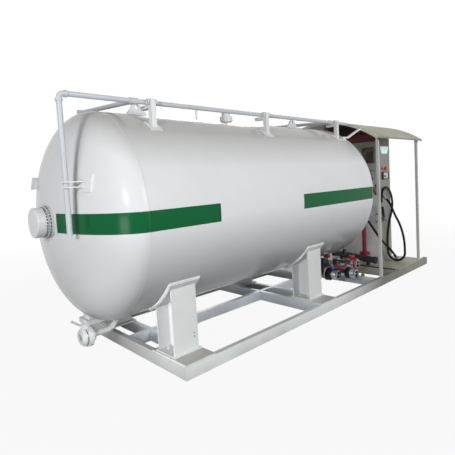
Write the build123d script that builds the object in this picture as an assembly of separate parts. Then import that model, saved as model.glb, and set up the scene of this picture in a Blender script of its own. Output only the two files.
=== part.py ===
"""Liquefied gas filling station on a steel skid, in millimetres.

A horizontal tank with dished ends stands on four legs at one end of a channel frame. A spray
pipe runs over it. At the other end a barrel-roofed canopy covers a dispenser cabinet with its
hoses, and a pump with three filling couplings sits between the two, under the tank's end.

X runs along the tank towards the dispenser, -Y is the side where the hoses hang and Z is up.
The origin is under the middle of the station, on the floor.
"""

import os
from math import asin, degrees, radians, sqrt, tan

from build123d import *

# Clearance at curved seats, and the length by which a cutting solid overruns what it cuts.
seat_gap = 0.3
overrun = 20.0

# Tank
tank_radius = 900.0
tank_wall = 10.0
barrel_length = 3305.0
head_depth_share = 0.4244
tank_clearance = 394.0
tank_overhang = 246.0

# Inspection opening on the outer head
nozzle_flange_radius = 128.0
nozzle_flange_length = 34.0
nozzle_cap_radius = 120.0
nozzle_cap_length = 84.0
nozzle_cap_edge = 12.0
nozzle_gasket = 6.0

# Skid frame of rolled channels
skid_side_inset = 27.0
beam_height = 110.0
beam_flange = 50.0
beam_web = 6.0
beam_flange_thickness = 8.0
rail_tail = 168.0
centre_beam_offset = 50.0
pump_bay_start = -541.0
pump_bay_length = 384.0
gutter_start = 353.0
deck_start = 443.0
deck_length = 888.0
deck_thickness = 6.0
gutter_thickness = 4.0
gutter_drop = 45.0

# Saddles
saddle_shares = (0.12042, 0.68865)
leg_width = 250.0
leg_depth = 240.0
leg_outer_share = 0.77
leg_flange_thickness = 12.0
leg_web_thickness = 10.0
leg_foot_margin = 16.0
leg_foot_thickness = 12.0
base_plate_length = 304.0
base_plate_margin = 60.0
base_plate_thickness = 16.0
pad_length = 296.0
pad_thickness = 18.0
pad_inner_angle = 26.0
pad_outer_angle = 52.5

# Spray pipes over the tank
pipe_radius = 20.0
pipe_wall = 3.5
pipe_bend = 38.0
fitting_radius = 26.0
fitting_length = 20.0
main_clearance = 28.0
main_reach_share = 0.5444
main_rise_far = 60.0
riser_clearance = 30.0
riser_foot_drop = 78.0
main_end_offset = -226.0
cross_pipe_shares = (0.05265, 0.91921)
tee_length = 72.0
support_shares = (0.09622, 0.52224, 0.94221)
support_tube = 45.0
support_wall = 4.0
support_foot_length = 112.0
support_foot_arc = 145.0
support_foot_thickness = 10.0
support_arm_length = 118.0
support_arm_thickness = 30.0

# Riser bracket on the outer head
bracket_rise_share = 0.3167
bracket_reach_share = 0.5889
bracket_pad_size = 122.0
bracket_pad_thickness = 12.0
bracket_arm_gap = 30.0
bracket_arm_thickness = 8.0
bracket_arm_width = 34.0
head_block_size = 106.0
head_block_depth = 48.0
head_block_rise = 33.0

# Lifting lugs and relief valve on top
lug_shares = (0.1482602, 0.8689864)
lug_base = 246.0
lug_height = 128.0
lug_crown_radius = 44.0
lug_thickness = 20.0
lug_hole_radius = 20.0
lug_hole_height = 84.0
relief_share = 0.49803
relief_radius = 72.0
relief_height = 136.0
relief_sink_share = 0.08
vent_share = 0.36732
vent_radius = 9.0
vent_height = 118.0

# Drain under the outer head
drain_offset = -336.0
drain_pad_size = 164.0
drain_pad_thickness = 40.0
drain_plate_growth = 26.0
drain_plate_rise = 33.0
drain_union_radius = 92.0
drain_union_length = 112.0
drain_union_lead = 30.0
drain_union_drop = 122.0
drain_neck_radius = 40.0
drain_pipe_radius = 27.0
drain_pipe_bend = 90.0
drain_pipe_run = 170.0
drain_pipe_rise_run = 110.0
drain_lever_radius = 9.0
drain_lever_length = 160.0
drain_lever_root_share = 0.72
drain_lever_lean_share = 0.75

# Canopy
canopy_start = -150.0
canopy_length = 1502.0
canopy_side_overhang = 15.0
canopy_eave_drop = 174.0
canopy_rise = 290.0
canopy_edge = 34.0
canopy_fold = 22.0
canopy_sheet = 4.0
post_offsets = (-83.0, 1209.0)
post_size = 34.0
post_wall = 3.0
post_inset = 24.0
brace_width = 34.0
brace_thickness = 20.0
brace_foot_lap = 99.0
brace_knee_offset = 31.0
brace_clearance = 2.0
brace_top_drop = 10.0
brace_reach_share = 0.6
brace_top_reach_share = 0.684

# Dispenser cabinet
cabinet_start = 739.0
cabinet_depth = 410.0
cabinet_width = 900.0
cabinet_top_rise = 146.0
cabinet_plinth = 60.0
cabinet_edge = 8.0
header_height = 125.0
header_drop = 14.0
header_thickness = 12.0
header_overhang = 10.0

# Fittings on the cabinet's hose side
lamp_width = 260.0
lamp_foot_share = 0.64
lamp_height = 115.0
lamp_depth = 26.0
lamp_rise_share = 0.8639
button_radius = 29.0
button_depth = 40.0
button_rise_share = 0.7229
switch_width = 190.0
switch_height = 118.0
switch_depth = 34.0
switch_rise_share = 0.6668
holster_width = 96.0
holster_height = 130.0
holster_wall = 5.0
hose_radius = 17.0
run_share = 0.45
swivel_radius = 22.0
swivel_length = 44.0
swivel_bend = 24.0
hose_end_radius = 22.0
hose_end_length = 46.0
nozzle_body_radius = 25.0
nozzle_body_length = 210.0
nozzle_spout_radius = 15.0
nozzle_spout_length = 70.0

# Pump set and filling couplings
pump_plate_thickness = 10.0
pump_plate_near_reach = 215.0
pump_offset = -366.0
pump_axis_height = 252.0
pump_radius = 96.0
pump_length = 220.0
pump_start_reach = -190.0
pump_foot_length = 190.0
motor_radius = 104.0
motor_length = 330.0
motor_gap = 70.0
motor_foot_length = 220.0
foot_width_share = 0.9
foot_length_share = 0.6
shaft_radius = 20.0
header_pipe_radius = 42.0
header_pipe_reach = 300.0
header_pipe_height = 224.0
header_pipe_start = -801.0
header_pipe_end = -281.0
header_stub_radius = 30.0
coupling_offsets = (-696.0, -511.0, -331.0)
coupling_heights = (224.0, 224.0, 312.0)
coupling_reaches = (560.0, 716.0, 640.0)
coupling_radius = 66.0
lever_length = 118.0
lever_width = 22.0
lever_thickness = 7.0
lever_stem_radius = 8.0
lever_stem_height = 30.0
lever_place_share = 0.27
lever_seat_share = 0.74
lever_round_share = 0.9
red_pipe_offset = 649.0
red_pipe_reach = 226.0
red_pipe_radius = 33.0
red_pipe_bend = 70.0
red_pipe_flange_radius = 80.0
red_pipe_flange_thickness = 20.0
red_pipe_flange_height = 256.0
red_pipe_top = 1010.0
return_pipe_offset = 466.0
return_pipe_radius = 46.0
return_pipe_far_reach = 234.0
return_pipe_near_reach = 512.0
return_pipe_far_height = 254.0
return_pipe_near_height = 203.0
return_pipe_collar = 54.0
return_pipe_collar_length = 36.0
return_pipe_stand_width = 40.0
return_pipe_stand_shares = (0.2, 0.82)
gauge_radius = 38.0
gauge_depth = 34.0
gauge_height = 464.0
gauge_reach = 446.0
gauge_stem_radius = 9.0
brass_valve_inset = 243.0
brass_valve_radius = 24.0
brass_valve_height = 98.0

# Routes of the hoses, chosen by hand from the cabinet's corner: along, out, and up as shares of its height.
hose_route = (
    (90.0, 51.0),
    (92.0, 96.0),
    (82.0, 142.0),
    (74.0, 178.0),
    (82.0, 214.0),
    (128.0, 254.0),
    (172.0, 280.0),
    (194.0, 298.0),
    (200.0, 302.0),
    (198.0, 302.0),
    (194.0, 225.0),
    (190.0, 117.0),
    (186.0, 42.0),
    (172.0, 40.0),
    (172.0, 38.0),
    (210.0, 36.0),
    (260.0, 35.0),
    (330.0, 36.0),
    (380.0, 38.0),
    (380.0, 40.0),
    (335.0, 40.0),
    (260.0, 40.0),
    (169.0, 40.0),
    (70.0, 39.0),
    (8.0, 38.0),
    (4.0, 38.0),
    (22.0, 37.0),
)
hose_rise_shares = (
    0.4995, 0.4800, 0.4507, 0.4117, 0.3629, 0.3068, 0.2385, 0.1702, 0.1044, 0.0468,
    0.0093, 0.0093, 0.0468, 0.1068, 0.1629, 0.2410, 0.3044, 0.3580, 0.4141, 0.4678,
    0.5215, 0.5605, 0.5800, 0.5654, 0.5215, 0.4849, 0.4507,
)
side_hose_route = (
    (-34.0, -196.0),
    (-38.0, -136.0),
    (-44.0, -92.0),
    (-54.0, -35.0),
    (-54.0, 20.0),
    (-30.0, 74.0),
    (24.0, 120.0),
    (78.0, 156.0),
    (126.0, 186.0),
)
side_hose_rise_shares = (
    0.3351, 0.2961, 0.2673, 0.2298, 0.1937, 0.1585, 0.1200, 0.0839, 0.0451,
)

# Places along X and levels that follow from the sizes above.
head_depth = tank_radius * head_depth_share
nozzle_reach = tank_overhang + head_depth + nozzle_flange_length + nozzle_gasket + nozzle_cap_length
skid_width = tank_radius + tank_radius - skid_side_inset - skid_side_inset
skid_length = barrel_length - tank_overhang + head_depth + deck_start + deck_length + rail_tail
skid_left = -(skid_length - nozzle_reach) / 2
tank_left = skid_left - tank_overhang
tank_right = tank_left + barrel_length
bay_left = tank_right + head_depth
half_width = skid_width / 2
deck_top = beam_height + deck_thickness
pump_plate_top = beam_height + pump_plate_thickness
tank_axis_height = tank_clearance + tank_radius
tank_top = tank_axis_height + tank_radius
main_height = tank_top + main_clearance
main_reach = tank_radius * main_reach_share
riser_x = tank_left - head_depth - riser_clearance
leg_outer_reach = tank_radius * leg_outer_share
bracket_height = tank_axis_height + tank_radius * bracket_rise_share
bracket_reach = tank_radius * bracket_reach_share
drain_plate_top = tank_clearance + drain_plate_rise
canopy_width = skid_width + canopy_side_overhang + canopy_side_overhang
canopy_eave_height = tank_top - canopy_eave_drop
brace_reach = tank_radius * brace_reach_share
brace_top_reach = tank_radius * brace_top_reach_share
cabinet_height = canopy_eave_height + cabinet_top_rise - deck_top
tank_origin = Vector(tank_left, 0, tank_axis_height)
cabinet_near = -cabinet_width / 2
cabinet_left = bay_left + cabinet_start
cabinet_right = cabinet_left + cabinet_depth
cabinet_middle = cabinet_left + cabinet_depth / 2
canopy_radius = ((canopy_width / 2) ** 2 + canopy_rise**2) / (canopy_rise + canopy_rise)
saddle_places = [tank_left + barrel_length * share for share in saddle_shares]
cross_pipe_places = [tank_left + barrel_length * share for share in cross_pipe_shares]
support_places = [tank_left + barrel_length * share for share in support_shares]
lug_places = [tank_left + barrel_length * share for share in lug_shares]
saddle_beams = [
    place + side for place in saddle_places
    for side in (-base_plate_length / 2, base_plate_length / 2 - beam_flange)
]
pump_bay_left = bay_left + pump_bay_start
pump_bay_right = pump_bay_left + pump_bay_length - beam_flange
gutter_left = bay_left + gutter_start
deck_left = bay_left + deck_start
end_beam_x = deck_left + deck_length - beam_flange


def slab(x0, x1, y0, y1, z0, z1):
    """A box between two corners."""
    middle = Pos((x0 + x1) / 2, (y0 + y1) / 2, (z0 + z1) / 2)
    return middle * Box(x1 - x0, y1 - y0, z1 - z0)


def rod(start, end, radius):
    """A round bar from one point to another."""
    start = Vector(start)
    run = Vector(end) - start
    low = (Align.CENTER, Align.CENTER, Align.MIN)
    return Plane(origin=start, z_dir=run) * Cylinder(radius, run.length, align=low)


def turned(outline, origin, along, up):
    """An outline of (length, radius) points turned about its axis and laid along a direction."""
    face = make_face(Polyline(*outline, close=True))
    return Plane(origin=origin, x_dir=along, z_dir=up) * revolve(face, Axis.X)


def bent_pipe(points, radius, bend):
    """A pipe through straight runs with bends of one radius."""
    path = FilletPolyline(*points, radius=bend)
    start = Plane(origin=path @ 0, z_dir=path % 0)
    return sweep(start * Circle(radius), path=path)


def tank_sector(inner, outer, angle_from, angle_to, x0, x1):
    """A curved plate round the tank's axis; angles are degrees from +Y towards the top."""
    arc_out = CenterArc((0, 0), outer, angle_from, angle_to - angle_from)
    arc_in = CenterArc((0, 0), inner, angle_from, angle_to - angle_from)
    ends = [Line(arc_out @ 0, arc_in @ 0), Line(arc_out @ 1, arc_in @ 1)]
    face = make_face([arc_out, arc_in, *ends])
    at = Plane(origin=(x0, 0, tank_axis_height), x_dir=(0, 1, 0), z_dir=(1, 0, 0))
    return extrude(at * face, amount=x1 - x0)


def tank_rod(radius):
    """A solid along the barrel, to cut what seats on it."""
    start = (tank_left - head_depth, 0, tank_axis_height)
    end = (tank_right + head_depth, 0, tank_axis_height)
    return rod(start, end, radius)


def half_ellipse(depth, radius):
    """One quarter of an ellipse as a closed face: depth along X, radius along Y."""
    arc = EllipticalCenterArc((0, 0), depth, radius, start_angle=0, arc_size=90)
    return make_face([arc, Line((0, radius), (0, 0)), Line((0, 0), (depth, 0))])


def head_solid(grow):
    """The filled outer head at the left end, grown by a clearance."""
    dome = revolve(half_ellipse(head_depth + grow, tank_radius + grow), Axis.X)
    return Plane(origin=tank_origin, x_dir=(-1, 0, 0), z_dir=(0, 0, 1)) * dome


def tank_head(x, direction):
    """One dished end: an ellipsoidal shell on the barrel's end face."""
    skin = half_ellipse(head_depth, tank_radius)
    hollow = half_ellipse(head_depth - tank_wall, tank_radius - tank_wall)
    shell = revolve(skin - hollow, Axis.X)
    return Plane(origin=(x, 0, tank_axis_height), x_dir=(direction, 0, 0), z_dir=(0, 0, 1)) * shell


def tank_barrel():
    """The tank's rolled shell, open at both ends."""
    start = (tank_left, 0, tank_axis_height)
    end = (tank_right, 0, tank_axis_height)
    return rod(start, end, tank_radius) - rod(start, end, tank_radius - tank_wall)


def nozzle_flange():
    """The ring welded on the outer head's crown, its back following the crown."""
    length = head_depth + nozzle_flange_length
    block = make_face(
        Polyline((0, 0), (length, 0), (length, nozzle_flange_radius), (0, nozzle_flange_radius), close=True)
    )
    ring = revolve(block - half_ellipse(head_depth + seat_gap, tank_radius + seat_gap), Axis.X)
    return Plane(origin=tank_origin, x_dir=(-1, 0, 0), z_dir=(0, 0, 1)) * ring


def nozzle_cap():
    """The cover over the opening, with a rounded rim and a narrower gasket behind it."""
    back = nozzle_gasket
    front = nozzle_gasket + nozzle_cap_length
    rim = nozzle_cap_radius - nozzle_cap_edge
    outline = (
        (0, 0),
        (0, rim),
        (back, rim),
        (back, nozzle_cap_radius),
        (front, nozzle_cap_radius),
        (front, 0),
    )
    start_x = tank_left - head_depth - nozzle_flange_length
    cap = turned(outline, (start_x, 0, tank_axis_height), (-1, 0, 0), (0, 0, 1))
    outer_rim = cap.edges().filter_by(GeomType.CIRCLE).sort_by(Axis.X)[0]
    return fillet(outer_rim, nozzle_cap_edge)


def skid_edge():
    """The frame's outer channels as one ring with the flanges turned inwards."""
    left = skid_left
    right = skid_left + skid_length
    ring = slab(left, right, -half_width, half_width, 0, beam_height)
    low = beam_flange_thickness
    high = beam_height - beam_flange_thickness
    web = beam_web
    pocket = slab(left + web, right + overrun, -half_width + web, half_width - web, low, high)
    inner = half_width - beam_flange
    well = slab(left + beam_flange, right + overrun, -inner, inner, -overrun, beam_height + overrun)
    return ring - pocket - well


def plan_cut(*corners):
    """An upright prism over plan corners, taller than the frame."""
    face = make_face(Polyline(*corners, close=True))
    return Pos(0, 0, -overrun) * extrude(face, amount=beam_height + overrun + overrun)


def skid_rail(side):
    """A long channel, mitred at the left corner and square at the right."""
    outer = side * half_width
    inner = side * (half_width - beam_flange)
    left = skid_left
    right = skid_left + skid_length
    corners = ((left, outer), (right, outer), (right, inner), (left + beam_flange, inner))
    return skid_edge() & plan_cut(*corners)


def end_beam_left():
    """The channel across the left end, mitred into both rails."""
    inner = half_width - beam_flange
    near = skid_left
    far = skid_left + beam_flange
    corners = ((near, -half_width), (far, -inner), (far, inner), (near, half_width))
    return skid_edge() & plan_cut(*corners)


def cross_channel(x, near):
    """A channel across the frame as far as the far rail's flange, its web to the left."""
    inner = half_width - beam_flange
    low = beam_flange_thickness
    high = beam_height - beam_flange_thickness
    body = slab(x, x + beam_flange, near, inner, 0, beam_height)
    return body - slab(x + beam_web, x + beam_flange + overrun, near, inner, low, high)


def long_channel(x0, x1, y):
    """A channel along the frame between two cross channels."""
    low = beam_flange_thickness
    high = beam_height - beam_flange_thickness
    body = slab(x0, x1, y, y + beam_flange, 0, beam_height)
    return body - slab(x0, x1, y + beam_web, y + beam_flange + overrun, low, high)


def cross_beams():
    """The channels across the frame, and a short one under the pump plate's left edge."""
    places = (*saddle_beams[1:], pump_bay_right, gutter_left, deck_left, end_beam_x)
    near = beam_flange - half_width
    short = cross_channel(pump_bay_left, centre_beam_offset + beam_flange)
    return Compound([*[cross_channel(x, near) for x in places], short])


def centre_beams():
    """The middle channel, in lengths between the cross channels."""
    spans = (
        (skid_left + beam_flange, saddle_beams[1]),
        (saddle_beams[1] + beam_flange, saddle_beams[2]),
        (saddle_beams[2] + beam_flange, saddle_beams[3]),
        (saddle_beams[3] + beam_flange, pump_bay_right),
        (pump_bay_right + beam_flange, gutter_left),
    )
    return Compound([long_channel(x0, x1, centre_beam_offset) for x0, x1 in spans])


def deck_plate():
    """The floor that the cabinet stands on, lying on the frame."""
    right = end_beam_x + beam_flange
    return slab(deck_left, right, -half_width, half_width, beam_height, deck_top)


def gutter_tray():
    """A lowered plate in front of the deck's edge, let in between its two beams."""
    inner = half_width - beam_flange
    top = beam_height - gutter_drop
    x0 = gutter_left + beam_flange
    return slab(x0, deck_left, -inner, inner, top - gutter_thickness, top)


def pump_plate():
    """The plate that carries the pump, on two cross channels and the middle one."""
    inner = half_width - beam_flange
    x1 = pump_bay_right + beam_flange
    return slab(pump_bay_left, x1, -pump_plate_near_reach, inner, beam_height, pump_plate_top)


def base_plates(x):
    """The two plates under one saddle's legs, flush with the rails' outer faces."""
    x0 = x - base_plate_length / 2
    x1 = x0 + base_plate_length
    y1 = leg_outer_reach - leg_depth - base_plate_margin
    top = beam_height + base_plate_thickness
    near = slab(x0, x1, -half_width, -y1, beam_height, top)
    far = slab(x0, x1, y1, half_width, beam_height, top)
    return near, far


def saddle_leg(x, side):
    """A wide-flange leg on a foot plate, its flanges across the skid and its top cut to the pad's curve."""
    foot = beam_height + base_plate_thickness
    outer = leg_outer_reach
    inner = leg_outer_reach - leg_depth
    half = leg_width / 2
    web_half = leg_web_thickness / 2
    outer_flange = slab(x - half, x + half, outer - leg_flange_thickness, outer, foot, tank_axis_height)
    inner_flange = slab(x - half, x + half, inner, inner + leg_flange_thickness, foot, tank_axis_height)
    web = slab(x - web_half, x + web_half, inner, outer, foot, tank_axis_height)
    margin = leg_foot_margin
    plate_half = half + margin
    plate_top = foot + leg_foot_thickness
    plate = slab(x - plate_half, x + plate_half, inner - margin, outer + margin, foot, plate_top)
    leg = outer_flange + inner_flange + web + plate
    leg = leg - tank_rod(tank_radius + seat_gap + pad_thickness + seat_gap)
    return leg if side > 0 else leg.mirror(Plane.XZ)


def saddle_pads(x):
    """The curved plates between one saddle's legs and the tank."""
    x0 = x - pad_length / 2
    x1 = x0 + pad_length
    inner = tank_radius + seat_gap
    outer = inner + pad_thickness
    far = tank_sector(inner, outer, -90 + pad_inner_angle, -90 + pad_outer_angle, x0, x1)
    near = tank_sector(inner, outer, -90 - pad_outer_angle, -90 - pad_inner_angle, x0, x1)
    return near, far


def spray_riser():
    """The riser in front of the outer head with the elbow at its top."""
    x = riser_x
    foot = Vector(x, -main_reach, tank_axis_height - riser_foot_drop)
    corner = Vector(x, -main_reach, main_height)
    end = Vector(x + pipe_bend + fitting_length, -main_reach, main_height)
    outside = bent_pipe((foot, corner, end), pipe_radius, pipe_bend)
    inside = bent_pipe((foot, corner, end), pipe_radius - pipe_wall, pipe_bend)
    bend_start = Vector(x, -main_reach, main_height - pipe_bend)
    collar_low = rod(bend_start - Vector(0, 0, fitting_length), bend_start, fitting_radius)
    collar_high = rod(end - Vector(fitting_length, 0, 0), end, fitting_radius)
    return outside + collar_low + collar_high - inside


def spray_main(side):
    """A straight pipe along one side above the tank, with a tee for each cross pipe."""
    first_tee = cross_pipe_places[0] - tee_length / 2
    elbow_end = riser_x + pipe_bend + fitting_length
    x0 = elbow_end if side < 0 else first_tee
    x1 = bay_left + main_end_offset
    y = side * main_reach
    z = main_height + (main_rise_far if side > 0 else 0)
    main = rod((x0, y, z), (x1, y, z), pipe_radius)
    for x in cross_pipe_places:
        main += rod((x - tee_length / 2, y, z), (x + tee_length / 2, y, z), fitting_radius)
    if side > 0:
        for x in support_places:
            main += support_post(x, side, main_height + main_rise_far)
    return main


def cross_pipe(x):
    """A pipe over the tank's top between the tees of the two mains."""
    start = Vector(x, -main_reach, main_height)
    end = Vector(x, main_reach, main_height + main_rise_far)
    way = (end - start).normalized()
    bar = rod(start, end, pipe_radius)
    side = Vector(tee_length, 0, 0)
    near = rod(start - side, start + side, fitting_radius + seat_gap)
    far = rod(end - side, end + side, fitting_radius + seat_gap)
    socket_start = start + way * fitting_radius
    collar = rod(socket_start, socket_start + way * fitting_length, fitting_radius)
    return bar + collar - near - far


def support_post(x, side, pipe_level):
    """A square upright on a curved foot plate, beside the pipe that it carries."""
    half = support_tube / 2
    half_foot = support_foot_length / 2
    y = main_reach + pipe_radius + seat_gap + half
    inner = tank_radius + seat_gap
    outer = inner + support_foot_thickness
    middle = 90 - degrees(asin(y / inner))
    spread = degrees(support_foot_arc / inner) / 2
    foot = tank_sector(inner, outer, middle - spread, middle + spread, x - half_foot, x + half_foot)
    top = pipe_level + pipe_radius
    tube = slab(x - half, x + half, y - half, y + half, tank_axis_height, top)
    hole = half - support_wall
    bore = slab(x - hole, x + hole, y - hole, y + hole, tank_axis_height, top)
    post = foot + (tube - bore - tank_rod(inner + support_foot_thickness / 2))
    seat = pipe_level - pipe_radius - seat_gap
    arm_end = y - half - support_arm_length
    post += slab(x - half, x + half, arm_end, y - half, seat - support_arm_thickness, seat)
    return post if side > 0 else post.mirror(Plane.XZ)


def head_plate(y, z, size, depth):
    """A square plate on the outer head, its two faces following the head."""
    half = size / 2
    block = slab(tank_left - head_depth - depth, tank_left, y - half, y + half, z - half, z + half)
    return (block & head_solid(depth + seat_gap)) - head_solid(seat_gap)


def riser_bracket():
    """A pad on the outer head with two flat arms that clip round the riser."""
    x = riser_x
    y = -main_reach
    pad = head_plate(-bracket_reach, bracket_height, bracket_pad_size, bracket_pad_thickness)
    half_gap = bracket_arm_gap / 2
    for low in (bracket_height - half_gap - bracket_arm_thickness, bracket_height + half_gap):
        high = low + bracket_arm_thickness
        arm = slab(x - bracket_arm_width, tank_left, y - bracket_arm_width, y, low, high)
        pad += arm - head_solid(bracket_pad_thickness / 2)
    grip = rod((x, y, tank_axis_height), (x, y, tank_top), pipe_radius + seat_gap)
    return pad - grip


def head_block():
    """The plain block on the outer head's far side."""
    return head_plate(bracket_reach, bracket_height + head_block_rise, head_block_size, head_block_depth)


def lifting_lug(x):
    """A triangular plate with a rounded crown and a hole, welded along the tank's top."""
    half = lug_base / 2
    foot = tank_top + seat_gap
    crown = Pos(0, lug_height - lug_crown_radius) * Circle(lug_crown_radius)
    rounded = make_hull([*crown.edges(), Line((-half, 0), (half, 0)).edge()])
    hole = Pos(0, lug_hole_height) * Circle(lug_hole_radius)
    at = Plane(origin=(x, lug_thickness / 2, foot), x_dir=(1, 0, 0), z_dir=(0, -1, 0))
    return extrude(at * (rounded - hole), amount=lug_thickness)


def top_valves():
    """The safety valve on top, a waist, a wide body and a narrower cap, and the vent stub by it."""
    shares = ((0, 0), (0, 0.8), (0.2, 0.8), (0.2, 1), (0.62, 1), (0.62, 0.68), (1, 0.68), (1, 0))
    outline = [(along * relief_height, out * relief_radius) for along, out in shares]
    x = tank_left + barrel_length * relief_share
    body = turned(outline, (x, 0, tank_top - relief_height * relief_sink_share), (0, 0, 1), (1, 0, 0))
    x = tank_left + barrel_length * vent_share
    stub = rod((x, 0, tank_axis_height), (x, 0, tank_top + vent_height), vent_radius)
    barrel = tank_rod(tank_radius + seat_gap)
    return Compound([*(body - barrel).solids(), *(stub - barrel).solids()])


def drain_pad():
    """The stepped flange plates under the outer head, their upper parts cut to it."""
    x = skid_left + drain_offset
    half = drain_pad_size / 2
    low = drain_plate_top - drain_pad_thickness
    plate = slab(x - half, x + half, -half, half, low, drain_plate_top)
    neck_half = half - drain_plate_growth
    neck = slab(x - neck_half, x + neck_half, -neck_half, neck_half, drain_plate_top, tank_axis_height)
    return plate + neck - head_solid(seat_gap)


def drain_axis():
    """The end of the drain union nearest the tank's middle, on its axis."""
    x = skid_left + drain_offset - drain_pad_size / 2 - drain_union_lead + drain_union_length
    return Vector(x, 0, tank_clearance - drain_union_drop)


def drain_union():
    """The drain valve's round union under a neck, its axis along the skid, with a lever beside the neck."""
    shares = (
        (0, 0), (0, 0.62), (0.28, 0.62), (0.28, 1), (0.66, 1), (0.66, 0.84), (0.9, 0.84), (1, 0.7), (1, 0),
    )
    outline = [(along * drain_union_length, out * drain_union_radius) for along, out in shares]
    start = drain_axis()
    union = turned(outline, start, (-1, 0, 0), (0, 0, 1))
    middle = start - Vector(drain_union_length / 2, 0, 0)
    top = drain_plate_top - drain_pad_thickness - seat_gap
    union += rod(middle, (middle.X, 0, top), drain_neck_radius)
    root = middle + Vector(0, 0, drain_union_radius * drain_lever_root_share)
    way = Vector(-1, 0, drain_lever_lean_share).normalized()
    return union + rod(root, root + way * drain_lever_length, drain_lever_radius)


def drain_pipe():
    """The bent pipe from the union back up to the tank's underside."""
    start = drain_axis()
    knee = start + Vector(drain_pipe_run, 0, 0)
    end = Vector(knee.X + drain_pipe_rise_run, 0, tank_axis_height - tank_radius + tank_wall)
    pipe = bent_pipe((start, knee, end), drain_pipe_radius, drain_pipe_bend)
    return pipe - tank_rod(tank_radius + seat_gap)


def arch_face(radius_out, radius_in, half):
    """The canopy's section between two arcs, cut off upright at a half width."""
    centre = canopy_eave_height + canopy_rise - canopy_radius
    ring = Circle(radius_out) - Circle(radius_in)
    window = Pos(0, radius_out) * Rectangle(half + half, radius_out + radius_out)
    at = Plane(origin=(0, 0, centre), x_dir=(0, 1, 0), z_dir=(1, 0, 0))
    return at * (ring & window)


def canopy_roof():
    """The barrel roof: one curved sheet with its four edges folded down."""
    half = canopy_width / 2
    shell = extrude(arch_face(canopy_radius, canopy_radius - canopy_edge, half), amount=canopy_length)
    inner_radius = canopy_radius - canopy_edge - overrun
    inner = arch_face(canopy_radius - canopy_sheet, inner_radius, half - canopy_sheet)
    pocket = extrude(inner, amount=canopy_length - canopy_sheet - canopy_sheet)
    x = bay_left + canopy_start
    roof = Pos(x, 0, 0) * shell - Pos(x + canopy_sheet, 0, 0) * pocket
    return roof - slab(x, x + canopy_length, -half, half, 0, canopy_eave_height - canopy_fold)


def roof_level(reach):
    """The height of the roof's outer face at a distance from the middle plane."""
    centre = canopy_eave_height + canopy_rise - canopy_radius
    return centre + sqrt(canopy_radius**2 - reach**2)


def canopy_post(offset, side):
    """A square tube from the rail or deck up to the underside of the roof sheet."""
    x = bay_left + offset
    half = post_size / 2
    y = side * (half_width - post_inset)
    hole = half - post_wall
    foot = deck_top if offset > deck_start else beam_height
    top = canopy_eave_height + canopy_rise
    tube = slab(x - half, x + half, y - half, y + half, foot, top)
    tube -= slab(x - hole, x + hole, y - hole, y + hole, foot, top)
    centre = canopy_eave_height + canopy_rise - canopy_radius
    reach = canopy_radius - canopy_sheet - seat_gap
    under = rod((x - post_size, 0, centre), (x + post_size, 0, centre), reach)
    return tube & under


def canopy_brace():
    """A flat bar from the tank's shoulder that bends up and out to the roof's end fold."""
    foot_x = tank_right - brace_foot_lap
    knee_x = tank_right + brace_knee_offset
    near = -brace_reach - brace_width
    low = tank_axis_height + sqrt(tank_radius**2 - brace_reach**2) + brace_clearance
    high = roof_level(brace_top_reach + brace_width) - brace_top_drop - brace_thickness
    flat = slab(foot_x, knee_x, near, -brace_reach, low, low + brace_thickness)
    middle = Vector(knee_x, near + brace_width / 2, low + brace_thickness / 2)
    section = Plane(origin=middle, x_dir=(0, 1, 0), z_dir=(1, 0, 0)) * Rectangle(brace_width, brace_thickness)
    top_x = bay_left + canopy_start - seat_gap
    way = Vector(top_x - knee_x, brace_reach - brace_top_reach, high - low)
    rise = extrude(section, amount=way.length, dir=way)
    foot_end = foot_x + brace_width + brace_width
    foot = slab(foot_x, foot_end, near, -brace_reach, tank_axis_height, low)
    return flat + rise + (foot - tank_rod(tank_radius + seat_gap))


def dispenser_cabinet():
    """The cabinet on the deck, with rounded upright edges over a set-back plinth."""
    high = deck_top + cabinet_height
    body = slab(cabinet_left, cabinet_right, cabinet_near, -cabinet_near, deck_top + cabinet_plinth, high)
    body = fillet(body.edges().filter_by(Axis.Z), cabinet_edge)
    foot = slab(
        cabinet_left + cabinet_edge,
        cabinet_right - cabinet_edge,
        cabinet_near + cabinet_edge,
        -cabinet_near - cabinet_edge,
        deck_top,
        deck_top + cabinet_plinth,
    )
    return body + foot


def header_panel():
    """The band along the top of the cabinet's tank side."""
    top = deck_top + cabinet_height - header_drop
    near = cabinet_near - header_overhang
    return slab(cabinet_left - header_thickness, cabinet_left, near, -near, top - header_height, top)


def near_panel(x, share, width, height, depth):
    """A box on the cabinet's hose side, centred at a place along X and a share of its height."""
    z = deck_top + cabinet_height * share
    return slab(
        x - width / 2, x + width / 2, cabinet_near - depth, cabinet_near, z - height / 2, z + height / 2
    )


def cabinet_lamp():
    """The light panel under the roof, narrower towards its foot."""
    half = lamp_width / 2
    foot = half * lamp_foot_share
    rise = lamp_height / 2
    face = make_face(Polyline((-foot, -rise), (foot, -rise), (half, rise), (-half, rise), close=True))
    z = deck_top + cabinet_height * lamp_rise_share
    at = Plane(origin=(cabinet_middle, cabinet_near, z), x_dir=(1, 0, 0), z_dir=(0, -1, 0))
    panel = extrude(at * face, amount=lamp_depth)
    front = panel.faces().sort_by(Axis.Y)[0]
    return chamfer(front.edges(), lamp_depth / 2)


def button_solid():
    """The round emergency button on its collar."""
    shares = ((0, 0), (0, 1), (0.3, 1), (0.3, 0.5), (0.6, 0.5), (0.6, 0.9), (0.85, 0.9), (1, 0.6), (1, 0))
    outline = [(along * button_depth, out * button_radius) for along, out in shares]
    at = (cabinet_middle, cabinet_near, deck_top + cabinet_height * button_rise_share)
    return turned(outline, at, (0, -1, 0), (0, 0, 1))


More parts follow.
